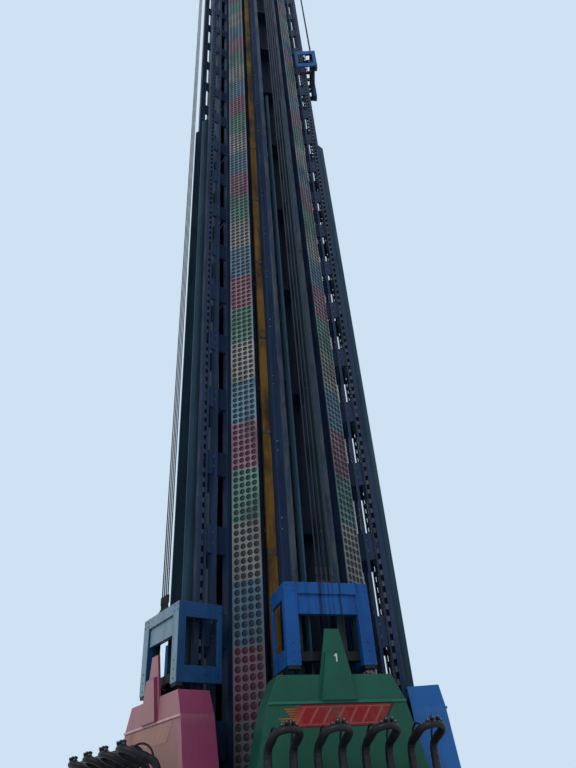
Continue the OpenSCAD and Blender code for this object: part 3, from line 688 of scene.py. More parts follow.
columnPaint = paintedSteel("columnPaint", navyLook)
coreLook = dict(navyLook, paint=(0.007, 0.015, 0.038), faded=(0.011, 0.022, 0.050))
corePaint = paintedSteel("corePaint", coreLook)
lampSheet = lampSheetPaint()
lampLens = lampLensGlass()
ductPaint = paintedSteel("ductPaint", ductLook)
finMetal = paintedSteel("finMetal", finLook)
greasySteel = paintedSteel("greasySteel", greasyLook)
headPaint = paintedSteel("headPaint", headLook)
foundationPaint = paintedSteel("foundationPaint", foundationLook)
machinePaint = paintedSteel("machinePaint", machineLook)
rackSteel = bareMetal("rackSteel", {"dark": (0.030, 0.033, 0.036), "light": (0.075, 0.08, 0.085),
                                    "rough": 0.45, "oil": 0.8, "metal": 0.6})
boltZinc = bareMetal("boltZinc", {"dark": (0.13, 0.14, 0.15), "light": (0.24, 0.25, 0.26), "rough": 0.38,
                                  "oil": 0.6})
shaftSteel = bareMetal("shaftSteel", {"dark": (0.20, 0.20, 0.20), "light": (0.34, 0.34, 0.34), "rough": 0.3,
                                      "oil": 0.4, "grain": (0.05, 1, 1)})
wireRope = ropeWire()
seatPlastic = softSkin("seatPlastic", {"skin": (0.016, 0.017, 0.019), "rubbed": (0.035, 0.036, 0.04),
                                       "grain": 420.0, "rough": 0.48, "creaseDepth": 0.05, "bump": 0.25,
                                       "dust": 0.35})
padVinyl = softSkin("padVinyl", {"skin": (0.006, 0.006, 0.008), "rubbed": (0.014, 0.015, 0.020),
                                 "grain": 500.0, "rough": 0.46, "creases": 16.0,
                                 "creaseStretch": (1, 1, 3.5), "creaseDepth": 0.6, "bump": 0.35,
                                 "coat": 0.05, "dust": 0.10, "shine": 0.18})
gripRubber = softSkin("gripRubber", {"skin": (0.008, 0.008, 0.009), "rubbed": (0.018, 0.018, 0.020),
                                     "grain": 700.0, "rough": 0.5, "creaseDepth": 0.05, "dust": 0.15,
                                     "shine": 0.18})
rubber = softSkin("rubber", {"skin": (0.014, 0.014, 0.014), "rubbed": (0.03, 0.03, 0.03), "grain": 300.0,
                             "rough": 0.7, "creaseDepth": 0.1, "dust": 0.4})
print("materials made")


# the CAD nodes that stay get their finish
def finishNode(name, material):
    onlyMaterial(nodes[name], material)


for name, material in {
    "base_plate": foundationPaint, "corner_columns": columnPaint, "ring_frames": columnPaint,
    "core_panels": corePaint, "brake_fins": finMetal, "cable_ducts": ductPaint, "landing_buffers": rubber,
    "head_plate": headPaint, "head_beams": headPaint,
}.items():
    finishNode(name, material)
catchPaints = {}
for face, k in faces.items():
    finishNode(f"{face}_ladders", paintedSteel(f"{face}RailPaint", dict(navyLook, extras=[wornRail]), k))
    look = shadedCatchLook if face == "left" else catchLook
    catchPaints[face] = paintedSteel(f"{face}CatchPaint", look, k)
    finishNode(f"{face}_catch_frame", catchPaints[face])
    finishNode(f"{face}_catch_carriage", greasySteel)
    finishNode(f"{face}_chassis", greasySteel)
    finishNode(f"{face}_cowling", gelcoat(f"{face}Gelcoat", shellLooks[face], k))
    finishNode(f"{face}_seats", seatPlastic)
print("frame parts finished")


# Lamp panels: a perforated sheet with a square grid of holes, four across, and a lens in each
lampPanel = {
    "width": 0.262, "columns": 4, "spacing": 0.060, "pitch": 0.0625, "holeRadius": 0.0262, "depth": 0.007,
    "plainFoot": 0.15,
}


def lampPanels():
    low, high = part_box("lamp_panels")
    front = -(plan["columnOut"] + 0.0082)
    back = front + 0.008
    spacing, pitch, radius, depth = (lampPanel[key] for key in ("spacing", "pitch", "holeRadius", "depth"))
    # the rows are counted from the foot of the lowest colour
    below = int((lampBands["start"] - low.z - lampPanel["plainFoot"]) / pitch)
    first = lampBands["start"] - below * pitch
    count = int((high.z - 0.05 - first) / pitch)
    last = first + count * pitch
    sheets, lenses = [], []
    for column in range(lampPanel["columns"]):
        xc = (column - (lampPanel["columns"] - 1) / 2) * spacing
        zc = first + pitch / 2
        # the four corners of a cell and the twelve points of its hole, from the upper left round
        outer = [(xc + i * spacing / 2, zc + j * pitch / 2) for i, j in ((-1, 1), (1, 1), (1, -1), (-1, -1))]
        rim = []
        for i in range(12):
            a = math.radians(135 - 30 * i)
            rim.append((xc + radius * math.cos(a), zc + radius * math.sin(a)))
        verts = [(x, front, z) for x, z in outer + rim] + [(x, front + depth, z) for x, z in rim]
        polys = []
        for i in range(12):
            n = (i + 1) % 12
            side, step = divmod(i, 3)
            if step == 2:
                polys.append((side, 4 + i, (side + 1) % 4))
            polys.append(((side + (step == 2)) % 4, 4 + i, 4 + n))
            polys.append((4 + i, 16 + i, 16 + n, 4 + n))
        unit = meshObject("lampCell", verts, polys)
        sheets.append(repeated(unit, "lampColumn", lampSheet, (count, (0, 0, pitch))))
        verts = [(x, front + depth, z) for x, z in rim] + [(xc, front + depth - 0.004, zc)]
        unit = meshObject("lampLensCell", verts, [(i, 12, (i + 1) % 12) for i in range(12)], smooth=True)
        lenses.append(repeated(unit, "lampLensColumn", lampLens, (count, (0, 0, pitch))))
    # the plain sheet round the holes
    half = lampPanel["width"] / 2
    holes = spacing * lampPanel["columns"] / 2
    for x0, x1, z0, z1 in ((-half, half, low.z, first), (-half, half, last, high.z),
                           (-half, -holes, first, last), (holes, half, first, last)):
        corners = [(x0, front, z0), (x1, front, z0), (x1, front, z1), (x0, front, z1)]
        sheets.append(meshObject("lampStrip", corners, [(0, 1, 2, 3)]))
    # folded rims and the back of the sheet
    for x0, x1 in ((-half, -half + 0.002), (half - 0.002, half)):
        sheets.append(boxMesh("lampRim", (x0, front + 0.0002, low.z), (x1, back, high.z)))
    sheets.append(boxMesh("lampBack", (-half, back - 0.001, low.z), (half, back, high.z)))
    sheet = onlyMaterial(joined(sheets, "lampScreen"), lampSheet)
    lens = onlyMaterial(joined(lenses, "lampLenses"), lampLens)
    screens = onEveryFace(sheet, "lamp_screen", lambda face: "tower", None, "lamp_panel", corner=0.5)
    onEveryFace(lens, "lamp_lenses", lambda face: "tower", None, "lamp_panel", corner=0.5)
    for screen in screens.values():
        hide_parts("lamp_panels")


lampPanels()
print("lamp panels made")


# Rack blocks between the strip and the rail head, and the bolts of the ladders
ladderDetail = {
    "blockPitch": 0.100, "blockHeight": 0.046, "blockWidth": 0.024, "boltRadius": 0.009, "boltHeight": 0.007,
    "clearOfEnds": 0.12, "sunk": 0.0005, "chordFront": 0.822, "firstBatten": 0.505, "boltAside": 0.035,
    "boltApart": 0.05,
}


def ladderDetails():
    low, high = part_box("front_ladders")
    d = ladderDetail
    count = int((high.z - low.z - 2 * d["clearOfEnds"]) / d["blockPitch"])
    foot = low.z + d["clearOfEnds"]
    half = d["blockWidth"] / 2
    block = boxMesh("rackBlock", (plan["ladderX"] - half, -plan["railHead"] - d["sunk"], foot),
                    (plan["ladderX"] + half, -plan["stripOut"] + d["sunk"], foot + d["blockHeight"]))
    rack = repeated(block, "rackBlocks", rackSteel, (count, (0, 0, d["blockPitch"])),
                    (2, (-2 * plan["ladderX"], 0, 0)))
    onEveryFace(rack, "rack_blocks", lambda face: "tower", None, "tower_steel")
    # bolts through the middle chord beside each batten, on both edges of the chord
    bays = int((high.z - low.z - 1.0) / plan["bay"])
    bolts = []
    for dx in (-d["boltAside"], d["boltAside"]):
        for dz in (-d["boltApart"], d["boltApart"]):
            x, z = plan["ladderX"] + dx, d["firstBatten"] + dz
            unit = rodMesh("bolt", (x, -d["chordFront"], z), (x, -d["chordFront"] - d["boltHeight"], z),
                           d["boltRadius"], 6, False)
            bolts.append(repeated(unit, "bolts", boltZinc, (bays, (0, 0, plan["bay"])),
                                  (2, (-2 * plan["ladderX"], 0, 0))))
    onEveryFace(joined(bolts, "ladderBolts"), "ladder_bolts", lambda face: "tower", None, "tower_steel")


ladderDetails()


# Duct clamps with their bolts
ductDetail = {
    "x": -0.262, "width": 0.076, "depth": 0.055, "pitch": 1.18, "straps": 23, "strapHeight": 0.03,
    "firstStrap": 0.25, "strap": 0.003, "boltAside": 0.028, "boltRadius": 0.007, "boltHeight": 0.006,
}


def ductDetails():
    d = ductDetail
    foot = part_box("cable_ducts")[0].z + d["firstStrap"]
    out = -(plan["faceRadius"] + d["depth"] + 0.0002)
    half = d["width"] / 2
    t = d["strap"]
    straps = []
    for x0, x1, y0, y1 in ((d["x"] - half - t, d["x"] + half + t, out - t, out),
                           (d["x"] - half - t, d["x"] - half, out, -plan["faceRadius"] - 0.001),
                           (d["x"] + half, d["x"] + half + t, out, -plan["faceRadius"] - 0.001)):
        unit = boxMesh("strap", (x0, y0, foot), (x1, y1, foot + d["strapHeight"]))
        straps.append(repeated(unit, "straps", rackSteel, (d["straps"], (0, 0, d["pitch"]))))
    for dx in (-d["boltAside"], d["boltAside"]):
        x, z = d["x"] + dx, foot + d["strapHeight"] / 2
        unit = rodMesh("strapBolt", (x, out - t, z), (x, out - t - d["boltHeight"], z),
                       d["boltRadius"], 6, False)
        straps.append(repeated(unit, "strapBolts", rackSteel, (d["straps"], (0, 0, d["pitch"]))))
    onEveryFace(joined(straps, "ductStraps"), "duct_straps", lambda face: "tower", None, "duct_paint")


ductDetails()
print("tower details made")


# Lift ropes from each catch car up to its sheave, and over the sheaves to the drums
ropeDetail = {
    "radius": 0.0055, "sheaveRadius": 0.210, "drumRadius": 0.120, "sheaveZ": 29.2724, "drumAxis": 0.520,
    "socketTop": 0.1204,
}


def ropeOffsets():
    return [(i - 1.5) * plan["ropePitch"] for i in range(4)]


def liftRopes():
    d = ropeDetail
    for face, k in faces.items():
        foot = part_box(f"{face}_catch_frame")[1].z + d["socketTop"] + 0.0002
        head = d["sheaveZ"]
        rods = []
        # two rings only, so a rope stays straight and even between its ends
        for x in ropeOffsets():
            ends = ((x, -plan["ropeRadius"], foot), (x, -plan["ropeRadius"], head))
            rods.append(rodMesh("liftRope", *ends, d["radius"], 8))
        piece = joined(rods, f"{face}_lift_ropes")
        piece.data.transform(turnOf(k))
        onlyMaterial(piece, wireRope)
        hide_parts(f"{face}_ropes")
        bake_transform(piece)


def headRopes():
    d = ropeDetail
    centre = plan["ropeRadius"] - d["radius"] - 0.0003 - d["sheaveRadius"]
    wrap = d["sheaveRadius"] + 0.0003 + d["radius"]
    # tangent from the top of the sheave to the top of the drum
    drumWrap = d["drumRadius"] + d["radius"]
    span = centre - d["drumAxis"]
    lean = math.asin((wrap - drumWrap) / span)
    rods = []
    for x in ropeOffsets():
        points = []
        for i in range(15):
            a = (math.pi / 2 + lean) * i / 14
            points.append((x, -(centre + wrap * math.cos(a)), d["sheaveZ"] + wrap * math.sin(a)))
        for i in range(15):
            a = math.pi / 2 + lean + math.radians(200) * i / 14
            points.append((x, -(d["drumAxis"] + drumWrap * math.cos(a)),
                           d["sheaveZ"] + drumWrap * math.sin(a)))
        rods.append(sweptMesh("headRope", points, [d["radius"]] * len(points), 8))
    onEveryFace(onlyMaterial(joined(rods, "headRopes"), wireRope), "head_ropes", lambda face: "tower", None,
                "rope_steel")


liftRopes()
headRopes()


# Grooved sheaves and winch drums
def headWheels():
    d = ropeDetail
    centre = plan["ropeRadius"] - d["radius"] - 0.0003 - d["sheaveRadius"]
    half, pin, reach = 0.085, 0.024, 0.133
    grooves = [(-half, d["sheaveRadius"] - 0.004)]
    for x in ropeOffsets():
        for i in range(7):
            a = math.pi * i / 6
            grooves.append((x - 0.0075 * math.cos(a), d["sheaveRadius"] - 0.005 * math.sin(a)))
    grooves.append((half, d["sheaveRadius"] - 0.004))
    profile = [(-reach, 0.002), (-reach, pin), (-half - 0.005, pin), (-half - 0.005, 0.052), (-half, 0.056),
               (-half, 0.060), (-half + 0.045, 0.066), (-half + 0.045, 0.178), (-half, 0.186)]
    profile += grooves
    profile += [(half, 0.186), (half - 0.045, 0.178), (half - 0.045, 0.066), (half, 0.060), (half, 0.056),
                (half + 0.005, 0.052), (half + 0.005, pin), (reach, pin), (reach, 0.002)]
    wheel = latheMesh("sheaveWheel", (0, -centre, d["sheaveZ"]), (1, 0, 0), profile, 48)
    smoothWheel(wheel)
    onlyMaterial(wheel, machinePaint)
    made = onEveryFace(wheel, "sheave_wheel", lambda face: "tower", None, "machine_grey")
    for piece in made.values():
        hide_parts("rope_sheaves")
    r = d["drumRadius"]
    profile = [(-reach, 0.002), (-reach, pin), (-half - 0.004, pin), (-half, 0.05), (-half, r + 0.0)]
    profile += [(-half + 0.006, r), (-half + 0.006, r - 0.004)]
    steps = 56
    for i in range(1, steps):
        profile.append((-half + 0.008 + (2 * half - 0.016) * i / steps, r - 0.004 + 0.0025 * (i % 2)))
    profile += [(half - 0.006, r - 0.004), (half - 0.006, r), (half, r), (half, 0.05), (half + 0.004, pin),
                (reach, pin), (reach, 0.002)]
    drum = latheMesh("winchDrum", (0, -d["drumAxis"], d["sheaveZ"]), (1, 0, 0), profile, 40)
    smoothWheel(drum)
    onlyMaterial(drum, machinePaint)
    made = onEveryFace(drum, "drum_wheel", lambda face: "tower", None, "machine_grey")
    for piece in made.values():
        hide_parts("winch_drums")


def smoothWheel(obj):
    obj.data.shade_smooth()
    work = bmesh.new()
    work.from_mesh(obj.data)
    for edge in work.edges:
        edge.smooth = edge.calc_face_angle(0.0) < math.radians(35)
    work.to_mesh(obj.data)
    work.free()


headWheels()
print("ropes and head made")


# Catch cars: bolt heads on the frame
catchDetail = {"boltRadius": 0.0065, "boltHeight": 0.005}


def hexRow(points, direction, radius, height, material, name):
    heads = []
    for p in points:
        end = [p[i] + direction[i] * height for i in range(3)]
        heads.append(onlyMaterial(rodMesh("hexHead", p, end, radius, 6, False), material))
    return joined(heads, name)


def catchDetails():
    low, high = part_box("front_catch_frame")
    d = catchDetail
    front = low.y
    points = []
    for side in (-1, 1):
        for dz in (0.020, 0.060):
            for dx in (0.020, 0.075):
                points.append((side * (high.x - dx), front, high.z - dz))
        for dz in (0.03, 0.09, 0.15):
            points.append((side * (high.x - 0.049), front, low.z + dz))
    heads = [hexRow(points, (0, -1, 0), d["boltRadius"], d["boltHeight"], boltZinc, "frontBolts")]
    for side in (-1, 1):
        points = [(side * high.x, y, z) for y in (front + 0.03, front + 0.12, front + 0.24, front + 0.34)
                  for z in (low.z + 0.055, high.z - 0.055)]
        heads.append(hexRow(points, (side, 0, 0), d["boltRadius"], d["boltHeight"], boltZinc, "sideBolts"))
    bolts = joined(heads, "catchBolts")
    made = onEveryFace(bolts, "catch_bolts", lambda face: None, lambda face, k: catchPaints[face],
                       "catch_paint")
    for face, piece in made.items():
        if face == "right":
            piece.data.transform(Matrix.Translation((0, 0, parkedUp)))
        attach(piece, f"{face}_catch_car")


catchDetails()


# Cowlings: stripes, ledge beads, the number and the screws
cowl = {
    "beadHalf": 0.484, "beadOut": 0.0105, "beadHeight": 0.0145,
    "ledgeZ": 1.375, "ledgeR": 1.194, "waistZ": 0.860, "waistR": 1.202, "waistHalf": 0.600,
    "spikeFront": 1.224, "proud": 0.0009,
}


# the lower front of a cowling at height z, a little proud of it
def lowerFront(x, z, proud):
    share = (cowl["ledgeZ"] - z) / (cowl["ledgeZ"] - cowl["waistZ"])
    return (x, -(cowl["ledgeR"] + (cowl["waistR"] - cowl["ledgeR"]) * share + proud), z)


def slantedBand(name, x0, x1, z0, z1, lean, proud, material):
    corners = [(x0, z0), (x1, z0), (x1 + lean, z1), (x0 + lean, z1)]
    front = [lowerFront(x, z, proud) for x, z in corners]
    back = [lowerFront(x, z, proud - 0.0006) for x, z in corners]
    polys = [(0, 1, 2, 3), (7, 6, 5, 4)] + [(i, i + 4, (i + 1) % 4 + 4, (i + 1) % 4) for i in range(4)]
    return onlyMaterial(outwards(meshObject(name, front + back, polys)), material)


stripes = {"low": 1.232, "high": 1.352, "left": -0.345, "right": 0.290, "lean": 0.085, "gaps": 7,
           "hot": (0.30, 0.075, 0.014), "speedLines": 9}
stripeColours = {
    "front": ((0.17, 0.004, 0.009), (0.24, 0.050, 0.045)), "right": ((0.42, 0.40, 0.35), (0.36, 0.18, 0.04)),
    "rear_right": ((0.40, 0.03, 0.02), (0.05, 0.12, 0.35)),
    "rear_left": ((0.56, 0.44, 0.10), (0.60, 0.57, 0.50)),
    # painted sunlight: the left stripe colours are set close to the pale, sunlit pink of the left front
    "left": ((0.30, 0.155, 0.125), (0.33, 0.165, 0.145)),
}


def cowlStripes():
    s = stripes
    for face, k in faces.items():
        fade = {"from": s["left"] - 0.01, "to": s["left"] + 0.10, "colour": s["hot"]}
        main = vinyl(f"{face}StripeMain", stripeColours[face][0], shellLooks[face]["dust"], k, fade)
        line = vinyl(f"{face}StripeLine", stripeColours[face][1], shellLooks[face]["dust"])
        dark = vinyl(f"{face}StripeEdge", (0.02, 0.012, 0.012), shellLooks[face]["grime"])
        groups = {"main": [slantedBand("main", s["left"], s["right"], s["low"], s["high"], s["lean"],
                                       cowl["proud"] + 0.0008, main)],
                  "line": []}
        # the left one has lost its dark outline
        if face != "left":
            groups["edge"] = [slantedBand("edge", s["left"] - 0.012, s["right"] + 0.012, s["low"] - 0.008,
                                          s["high"] + 0.008, s["lean"] + 0.011, cowl["proud"], dark)]
        height = s["high"] - s["low"]
        # slanted bars across the band
        step = (s["right"] - s["left"]) / s["gaps"]
        for i in range(s["gaps"]):
            x = s["left"] + step * (i + 0.38)
            groups["line"].append(slantedBand("bar", x, x + 0.016, s["low"] + 0.016, s["high"] - 0.016,
                                              s["lean"] * 0.75, cowl["proud"] + 0.0016, line))
        for z in (s["low"] + 0.008, s["high"] - 0.014):
            lean = s["lean"] * (z - s["low"]) / height
            x0, x1 = s["left"] + lean + 0.006, s["right"] + lean - 0.006
            groups["line"].append(slantedBand("rim", x0, x1, z, z + 0.006, 0.004,
                                              cowl["proud"] + 0.0016, line))
        # speed lines that trail off to the left
        for i in range(s["speedLines"]):
            z = s["low"] + height * (i + 0.2) / s["speedLines"]
            lean = s["lean"] * (z - s["low"]) / height
            reach = s["left"] + lean - 0.034 - 0.022 * (i * 5 % 4)
            top = z + height * 0.55 / s["speedLines"]
            groups["main"].append(slantedBand("speedLine", reach, s["left"] + lean + 0.006, z, top, 0.004,
                                              cowl["proud"] + 0.0007, main))
        for part, objs in groups.items():
            piece = joined(objs, f"{face}_stripe_{part}")
            piece.data.transform(turnOf(k))
            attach(piece, f"{face}_gondola")


# a moulded bead along the ledge, coloured paler than the shell: partly the worn colour of the shell's edges,
# partly a painted highlight on the ledge's lit lip, strongest on the left one
def ledgeBeads():
    half, out, height = cowl["beadHalf"], cowl["beadOut"], cowl["beadHeight"]
    z = cowl["ledgeZ"] - height / 2
    for face, k in faces.items():
        bead = boxMesh(f"{face}_ledge_bead", (-half, -cowl["ledgeR"] - out, z - height / 2),
                       (half, -cowl["ledgeR"] + 0.002, z + height / 2))
        bead.data.transform(turnOf(k))
        onlyMaterial(bead, vinyl(f"{face}BeadPaint", shellLooks[face]["bead"], shellLooks[face]["dulled"]))
        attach(bead, f"{face}_gondola")


# a plain figure one on the spike, as an outline about its foot
numberOne = {"x": 0.004, "foot": 1.606, "height": 0.052, "stroke": 0.010, "flag": 0.014, "thick": 0.0008}


def spikeNumber():
    n = numberOne
    left, right = n["x"] - n["stroke"] / 2, n["x"] + n["stroke"] / 2
    top = n["foot"] + n["height"]
    outline = [(left, n["foot"]), (right, n["foot"]), (right, top), (left + 0.003, top),
               (left - n["flag"], top - n["flag"]), (left - n["flag"] + 0.005, top - n["flag"] - 0.007),
               (left, top - n["flag"])]
    count = len(outline)
    verts = [(x, -cowl["spikeFront"] - n["thick"], z) for x, z in outline]
    verts += [(x, -cowl["spikeFront"] + 0.0002, z) for x, z in outline]
    polys = [tuple(range(count)), tuple(reversed(range(count, 2 * count)))]
    polys += [(i, i + count, (i + 1) % count + count, (i + 1) % count) for i in range(count)]
    piece = outwards(meshObject("front_number", verts, polys))
    onlyMaterial(piece, vinyl("numberPaint", (0.42, 0.47, 0.43), (0.12, 0.24, 0.19)))
    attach(piece, "front_gondola")


def cowlScrews():
    front = []
    for side in (-1, 1):
        # along the front corner edges, 20 mm in from them
        for i in range(7):
            z = 0.30 + 0.09 * i
            front.append((side * (cowl["waistHalf"] - 0.020), -cowl["waistR"], z))
    screws = [onlyMaterial(rodMesh("screw", p, (p[0], p[1] - 0.003, p[2]), 0.0065, 10), boltZinc)
              for p in front]
    screws = joined(screws, "cowlScrews")
    onEveryFace(screws, "cowl_screws", lambda face: f"{face}_gondola", None, "carriage_steel")


cowlStripes()
ledgeBeads()
spikeNumber()
cowlScrews()
print("cars made")


# Seats: a padded seat and back cushion in each plastic shell
seat = {
    "pitch": 0.308, "width": 0.262, "surface": 0.350, "faceR": 1.3702, "padThickness": 0.022,
    "backTop": 0.770, "voxel": 0.0065, "pressure": 3.0, "swell": 0.008, "channelDepth": 0.006,
}


# a crowned cushion: rows up the profile and a round crown over them
def cushionMesh(name, profile, halfWidth, thickness):
    across, along = 17, len(profile)
    verts, polys = [], []
    for layer in (0, 1):
        for j, (r, z, nr, nz) in enumerate(profile):
            v = j / (along - 1)
            for i in range(across):
                u = i / (across - 1) * 2 - 1
                crown = (1 - abs(u) ** 4) ** 0.5 * (1 - abs(2 * v - 1) ** 6) ** 0.5
                rise = thickness * (0.35 + 0.65 * crown) if layer else 0.0005
                pinch = 1 - 0.05 * (1 - crown)
                verts.append((u * halfWidth * pinch, -(r + nr * rise), z + nz * rise))
    size = across * along
    for j in range(along - 1):
        for i in range(across - 1):
            a = j * across + i
            polys.append((a, a + 1, a + across + 1, a + across))
            polys.append((size + a, size + a + across, size + a + across + 1, size + a + 1))
    loop = ([i for i in range(across)] + [j * across + across - 1 for j in range(1, along)]
            + [(along - 1) * across + i for i in range(across - 2, -1, -1)]
            + [j * across for j in range(along - 2, 0, -1)])
    for a, b in zip(loop, loop[1:] + loop[:1]):
        polys.append((a, size + a, size + b, b))
    return outwards(meshObject(name, verts, polys, smooth=True))


# the cushion's skin, blown up by a cloth simulation and held near its cut shape
def inflated(obj, name):
    remesh = obj.modifiers.new("remesh", "REMESH")
    remesh.mode = "VOXEL"
    remesh.voxel_size = seat["voxel"]
    remesh.use_smooth_shade = True
    obj = baked(obj, name)
    start = [v.co.copy() for v in obj.data.vertices]
    cloth = obj.modifiers.new("cloth", "CLOTH")
    cloth.settings.use_pressure = True
    cloth.settings.uniform_pressure_force = seat["pressure"]
    cloth.settings.effector_weights.gravity = 0
    cloth.point_cache.frame_end = 20
    scene = bpy.context.scene
    for number in range(1, 21):
        scene.frame_set(number)
    blown = bpy.data.meshes.new_from_object(obj.evaluated_get(bpy.context.evaluated_depsgraph_get()))
    moved = [v.co.copy() for v in blown.vertices]
    bpy.data.meshes.remove(blown)
    obj.modifiers.remove(cloth)
    scene.frame_set(1)
    for v, a, b in zip(obj.data.vertices, start, moved):
        step = b - a
        v.co = a + step * min(1.0, seat["swell"] / max(step.length, 1e-6))
    return obj


# sewn channels across the cushion, and the flat back it rests on
def sewn(obj, along, channels, normal, base, thickness):
    n = Vector(normal)
    for v in obj.data.vertices:
        height = v.co.dot(n) - base
        share = sum(math.exp(-((v.co.dot(Vector(along)) - c) / 0.007) ** 2) for c in channels)
        height -= seat["channelDepth"] * min(share, 1.0) * (height > 0.004)
        height = min(max(height, 0.0003), thickness)
        v.co += n * (base + height - v.co.dot(n))
    obj.data.update()
    return obj


def seatCushions():
    rows = 21
    thick = seat["padThickness"]
    back = [(seat["faceR"], 0.463 + (seat["backTop"] - 0.471) * i / (rows - 1), 1.0, 0.0)
            for i in range(rows)]
    pan = [(seat["faceR"] + 0.074 + 0.134 * i / (rows - 1), seat["surface"], 0.0, 1.0) for i in range(rows)]
    half = seat["width"] / 2 - 0.034
    backPad = inflated(cushionMesh("backCushion", back, half, thick * 0.8), "backCushion")
    backPad = sewn(backPad, (0, 0, 1), (0.56, 0.665), (0, -1, 0), seat["faceR"], thick + 0.006)
    panPad = inflated(cushionMesh("panCushion", pan, half, thick * 0.8), "panCushion")
    panPad = sewn(panPad, (0, -1, 0), (seat["faceR"] + 0.14,), (0, 0, 1), seat["surface"], thick + 0.006)
    row = [repeated(pad, "cushionRow", padVinyl, (4, (seat["pitch"], 0, 0))) for pad in (backPad, panPad)]
    cushions = joined(row, "seatCushions")
    cushions.data.transform(Matrix.Translation((-1.5 * seat["pitch"], 0, 0)))
    cushions.data.shade_smooth()
    made = onEveryFace(cushions, "seat_cushions", lambda face: f"{face}_gondola", None, "restraint_black")


seatCushions()
print("seats made")


# Restraints: padded tubes that rise from the shaft, bend outwards and meet in a hoop
restraint = {
    "shaftR": 1.362, "shaftZ": 0.850, "shaftRadius": 0.014, "half": 0.078, "up": 0.250, "out": 0.235,
    "tilt": 20.0, "tube": 0.018, "pad": 0.028, "bendRadius": 0.070, "rightLowered": 80.0,
    "gripRadius": 0.0065, "gripRise": 0.052,
}


# a point on the raised arm: x along the face, s out along the arm from the bend, h above the arm's middle
def armPoint(x, s, h):
    d = restraint
    tilt = math.radians(d["tilt"])
    r = s * math.cos(tilt) - h * math.sin(tilt)
    z = d["up"] + s * math.sin(tilt) + h * math.cos(tilt)
    return Vector((x, -(d["shaftR"] + r), d["shaftZ"] + z))


# from the shaft up the leg, round the bend, out along the arm, round the hoop and back
def restraintRoute():
    d = restraint
    bend = d["bendRadius"]
    turn = math.radians(90 - d["tilt"])
    cut = bend * math.tan(turn / 2)
    x = d["half"]
    leg = d["up"] - cut
    half = [Vector((x, -d["shaftR"], d["shaftZ"] + 0.022 + (leg - 0.022) * i / 13)) for i in range(14)]
    for i in range(1, 10):
        a = turn * i / 9
        half.append(Vector((x, -(d["shaftR"] + bend * (1 - math.cos(a))),
                            d["shaftZ"] + leg + bend * math.sin(a))))
    straight = d["out"] - d["half"] - cut
    half += [armPoint(x, cut + straight * i / 6, 0) for i in range(1, 7)]
    arc = [armPoint(x * math.cos(a), cut + straight + x * math.sin(a), 0)
           for a in (math.pi * i / 18 for i in range(1, 18))]
    other = [Vector((-p.x, p.y, p.z)) for p in reversed(half)]
    return half + arc + other, len(half)


# the right gondola's restraints are lowered
def turnDown(made):
    d = restraint
    axis = Matrix.Translation((0, -d["shaftR"], d["shaftZ"]))
    swing = axis @ Matrix.Rotation(math.radians(d["rightLowered"]), 4, "X") @ axis.inverted()
    made["right"].data.transform(turnOf(1) @ swing @ turnOf(-1))
    return made


def restraintPads():
    d = restraint
    points, count = restraintRoute()
    radii = []
    for i in range(len(points)):
        j = min(i, len(points) - 1 - i)
        # thick sleeves on legs and arms with creases at the bend, and a slimmer cover round the hoop
        if j < 2:
            radii.append(d["tube"] + 0.002 * j)
        elif j <= count - 2:
            crease = 0.0028 if 12 <= j <= 23 and j % 2 else 0.0008
            radii.append(d["pad"] - crease - 0.0012 * math.cos(j * 1.9))
        else:
            share = min((j - count + 2) / 4, 1.0)
            radii.append(d["pad"] + (d["tube"] + 0.004 - d["pad"]) * share)
    pad = sweptMesh("pad", points, radii, 10)
    smoother = pad.modifiers.new("smoother", "SUBSURF")
    smoother.levels = smoother.render_levels = 1
    pad = repeated(baked(pad, "pad"), "padRow", padVinyl, (4, (seat["pitch"], 0, 0)))
    pad.data.transform(Matrix.Translation((-1.5 * seat["pitch"], 0, 0)))
    pad.data.shade_smooth()
    for face, piece in turnDown(onEveryFace(pad, "restraint_pads", lambda face: f"{face}_restraint_bar", None,
                                            "restraint_black")).items():
        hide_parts(f"{face}_restraints")


# grip loops over the arms, end knobs with bolt caps, and the latch on the hoop
def restraintGrips():
    d = restraint
    reach = d["out"]
    black, bright = [], []
    for side in (-1, 1):
        x = side * (d["half"] - 0.012)
        loop = []
        for i in range(15):
            t = i / 14
            loop.append(armPoint(x, reach - 0.055 - (reach - 0.085) * t,
                                 0.012 + d["gripRise"] * math.sin(math.pi * t) ** 0.6))
        black.append(sweptMesh("gripLoop", loop, [d["gripRadius"]] * 15, 8))
    knobs = ((-0.046, 0.224, 0.018), (0.046, 0.224, 0.018), (-0.018, 0.242, 0.026), (0.024, 0.240, 0.030))
    for x, s, h in knobs:
        start, end = armPoint(x, s - 0.022, h - 0.008), armPoint(x, s + 0.016, h + 0.004)
        profile = [(0, 0.008), (0.012, 0.010), (0.030, 0.011), (0.036, 0.011), (0.039, 0.008)]
        black.append(latheMesh("knob", start, end - start, profile, 14))
        ahead = (end - start).normalized()
        cap = start + ahead * 0.040
        bright.append(latheMesh("boltCap", cap, ahead, [(0, 0.0050), (0.003, 0.0046), (0.005, 0.0024)], 10))
    black.append(rodMesh("latch", armPoint(0, reach - 0.010, 0.010), armPoint(0, reach - 0.014, 0.052),
                         0.013, 14))
    dark = onlyMaterial(joined(black, "grips"), gripRubber)
    caps = onlyMaterial(joined(bright, "caps"), boltZinc)
    for name, obj, material in (("restraint_grips", dark, gripRubber), ("restraint_caps", caps, boltZinc)):
        row = repeated(obj, "gripRow", material, (4, (seat["pitch"], 0, 0)))
        row.data.transform(Matrix.Translation((-1.5 * seat["pitch"], 0, 0)))
        turnDown(onEveryFace(row, name, lambda face: f"{face}_restraint_bar", None, "restraint_black"))


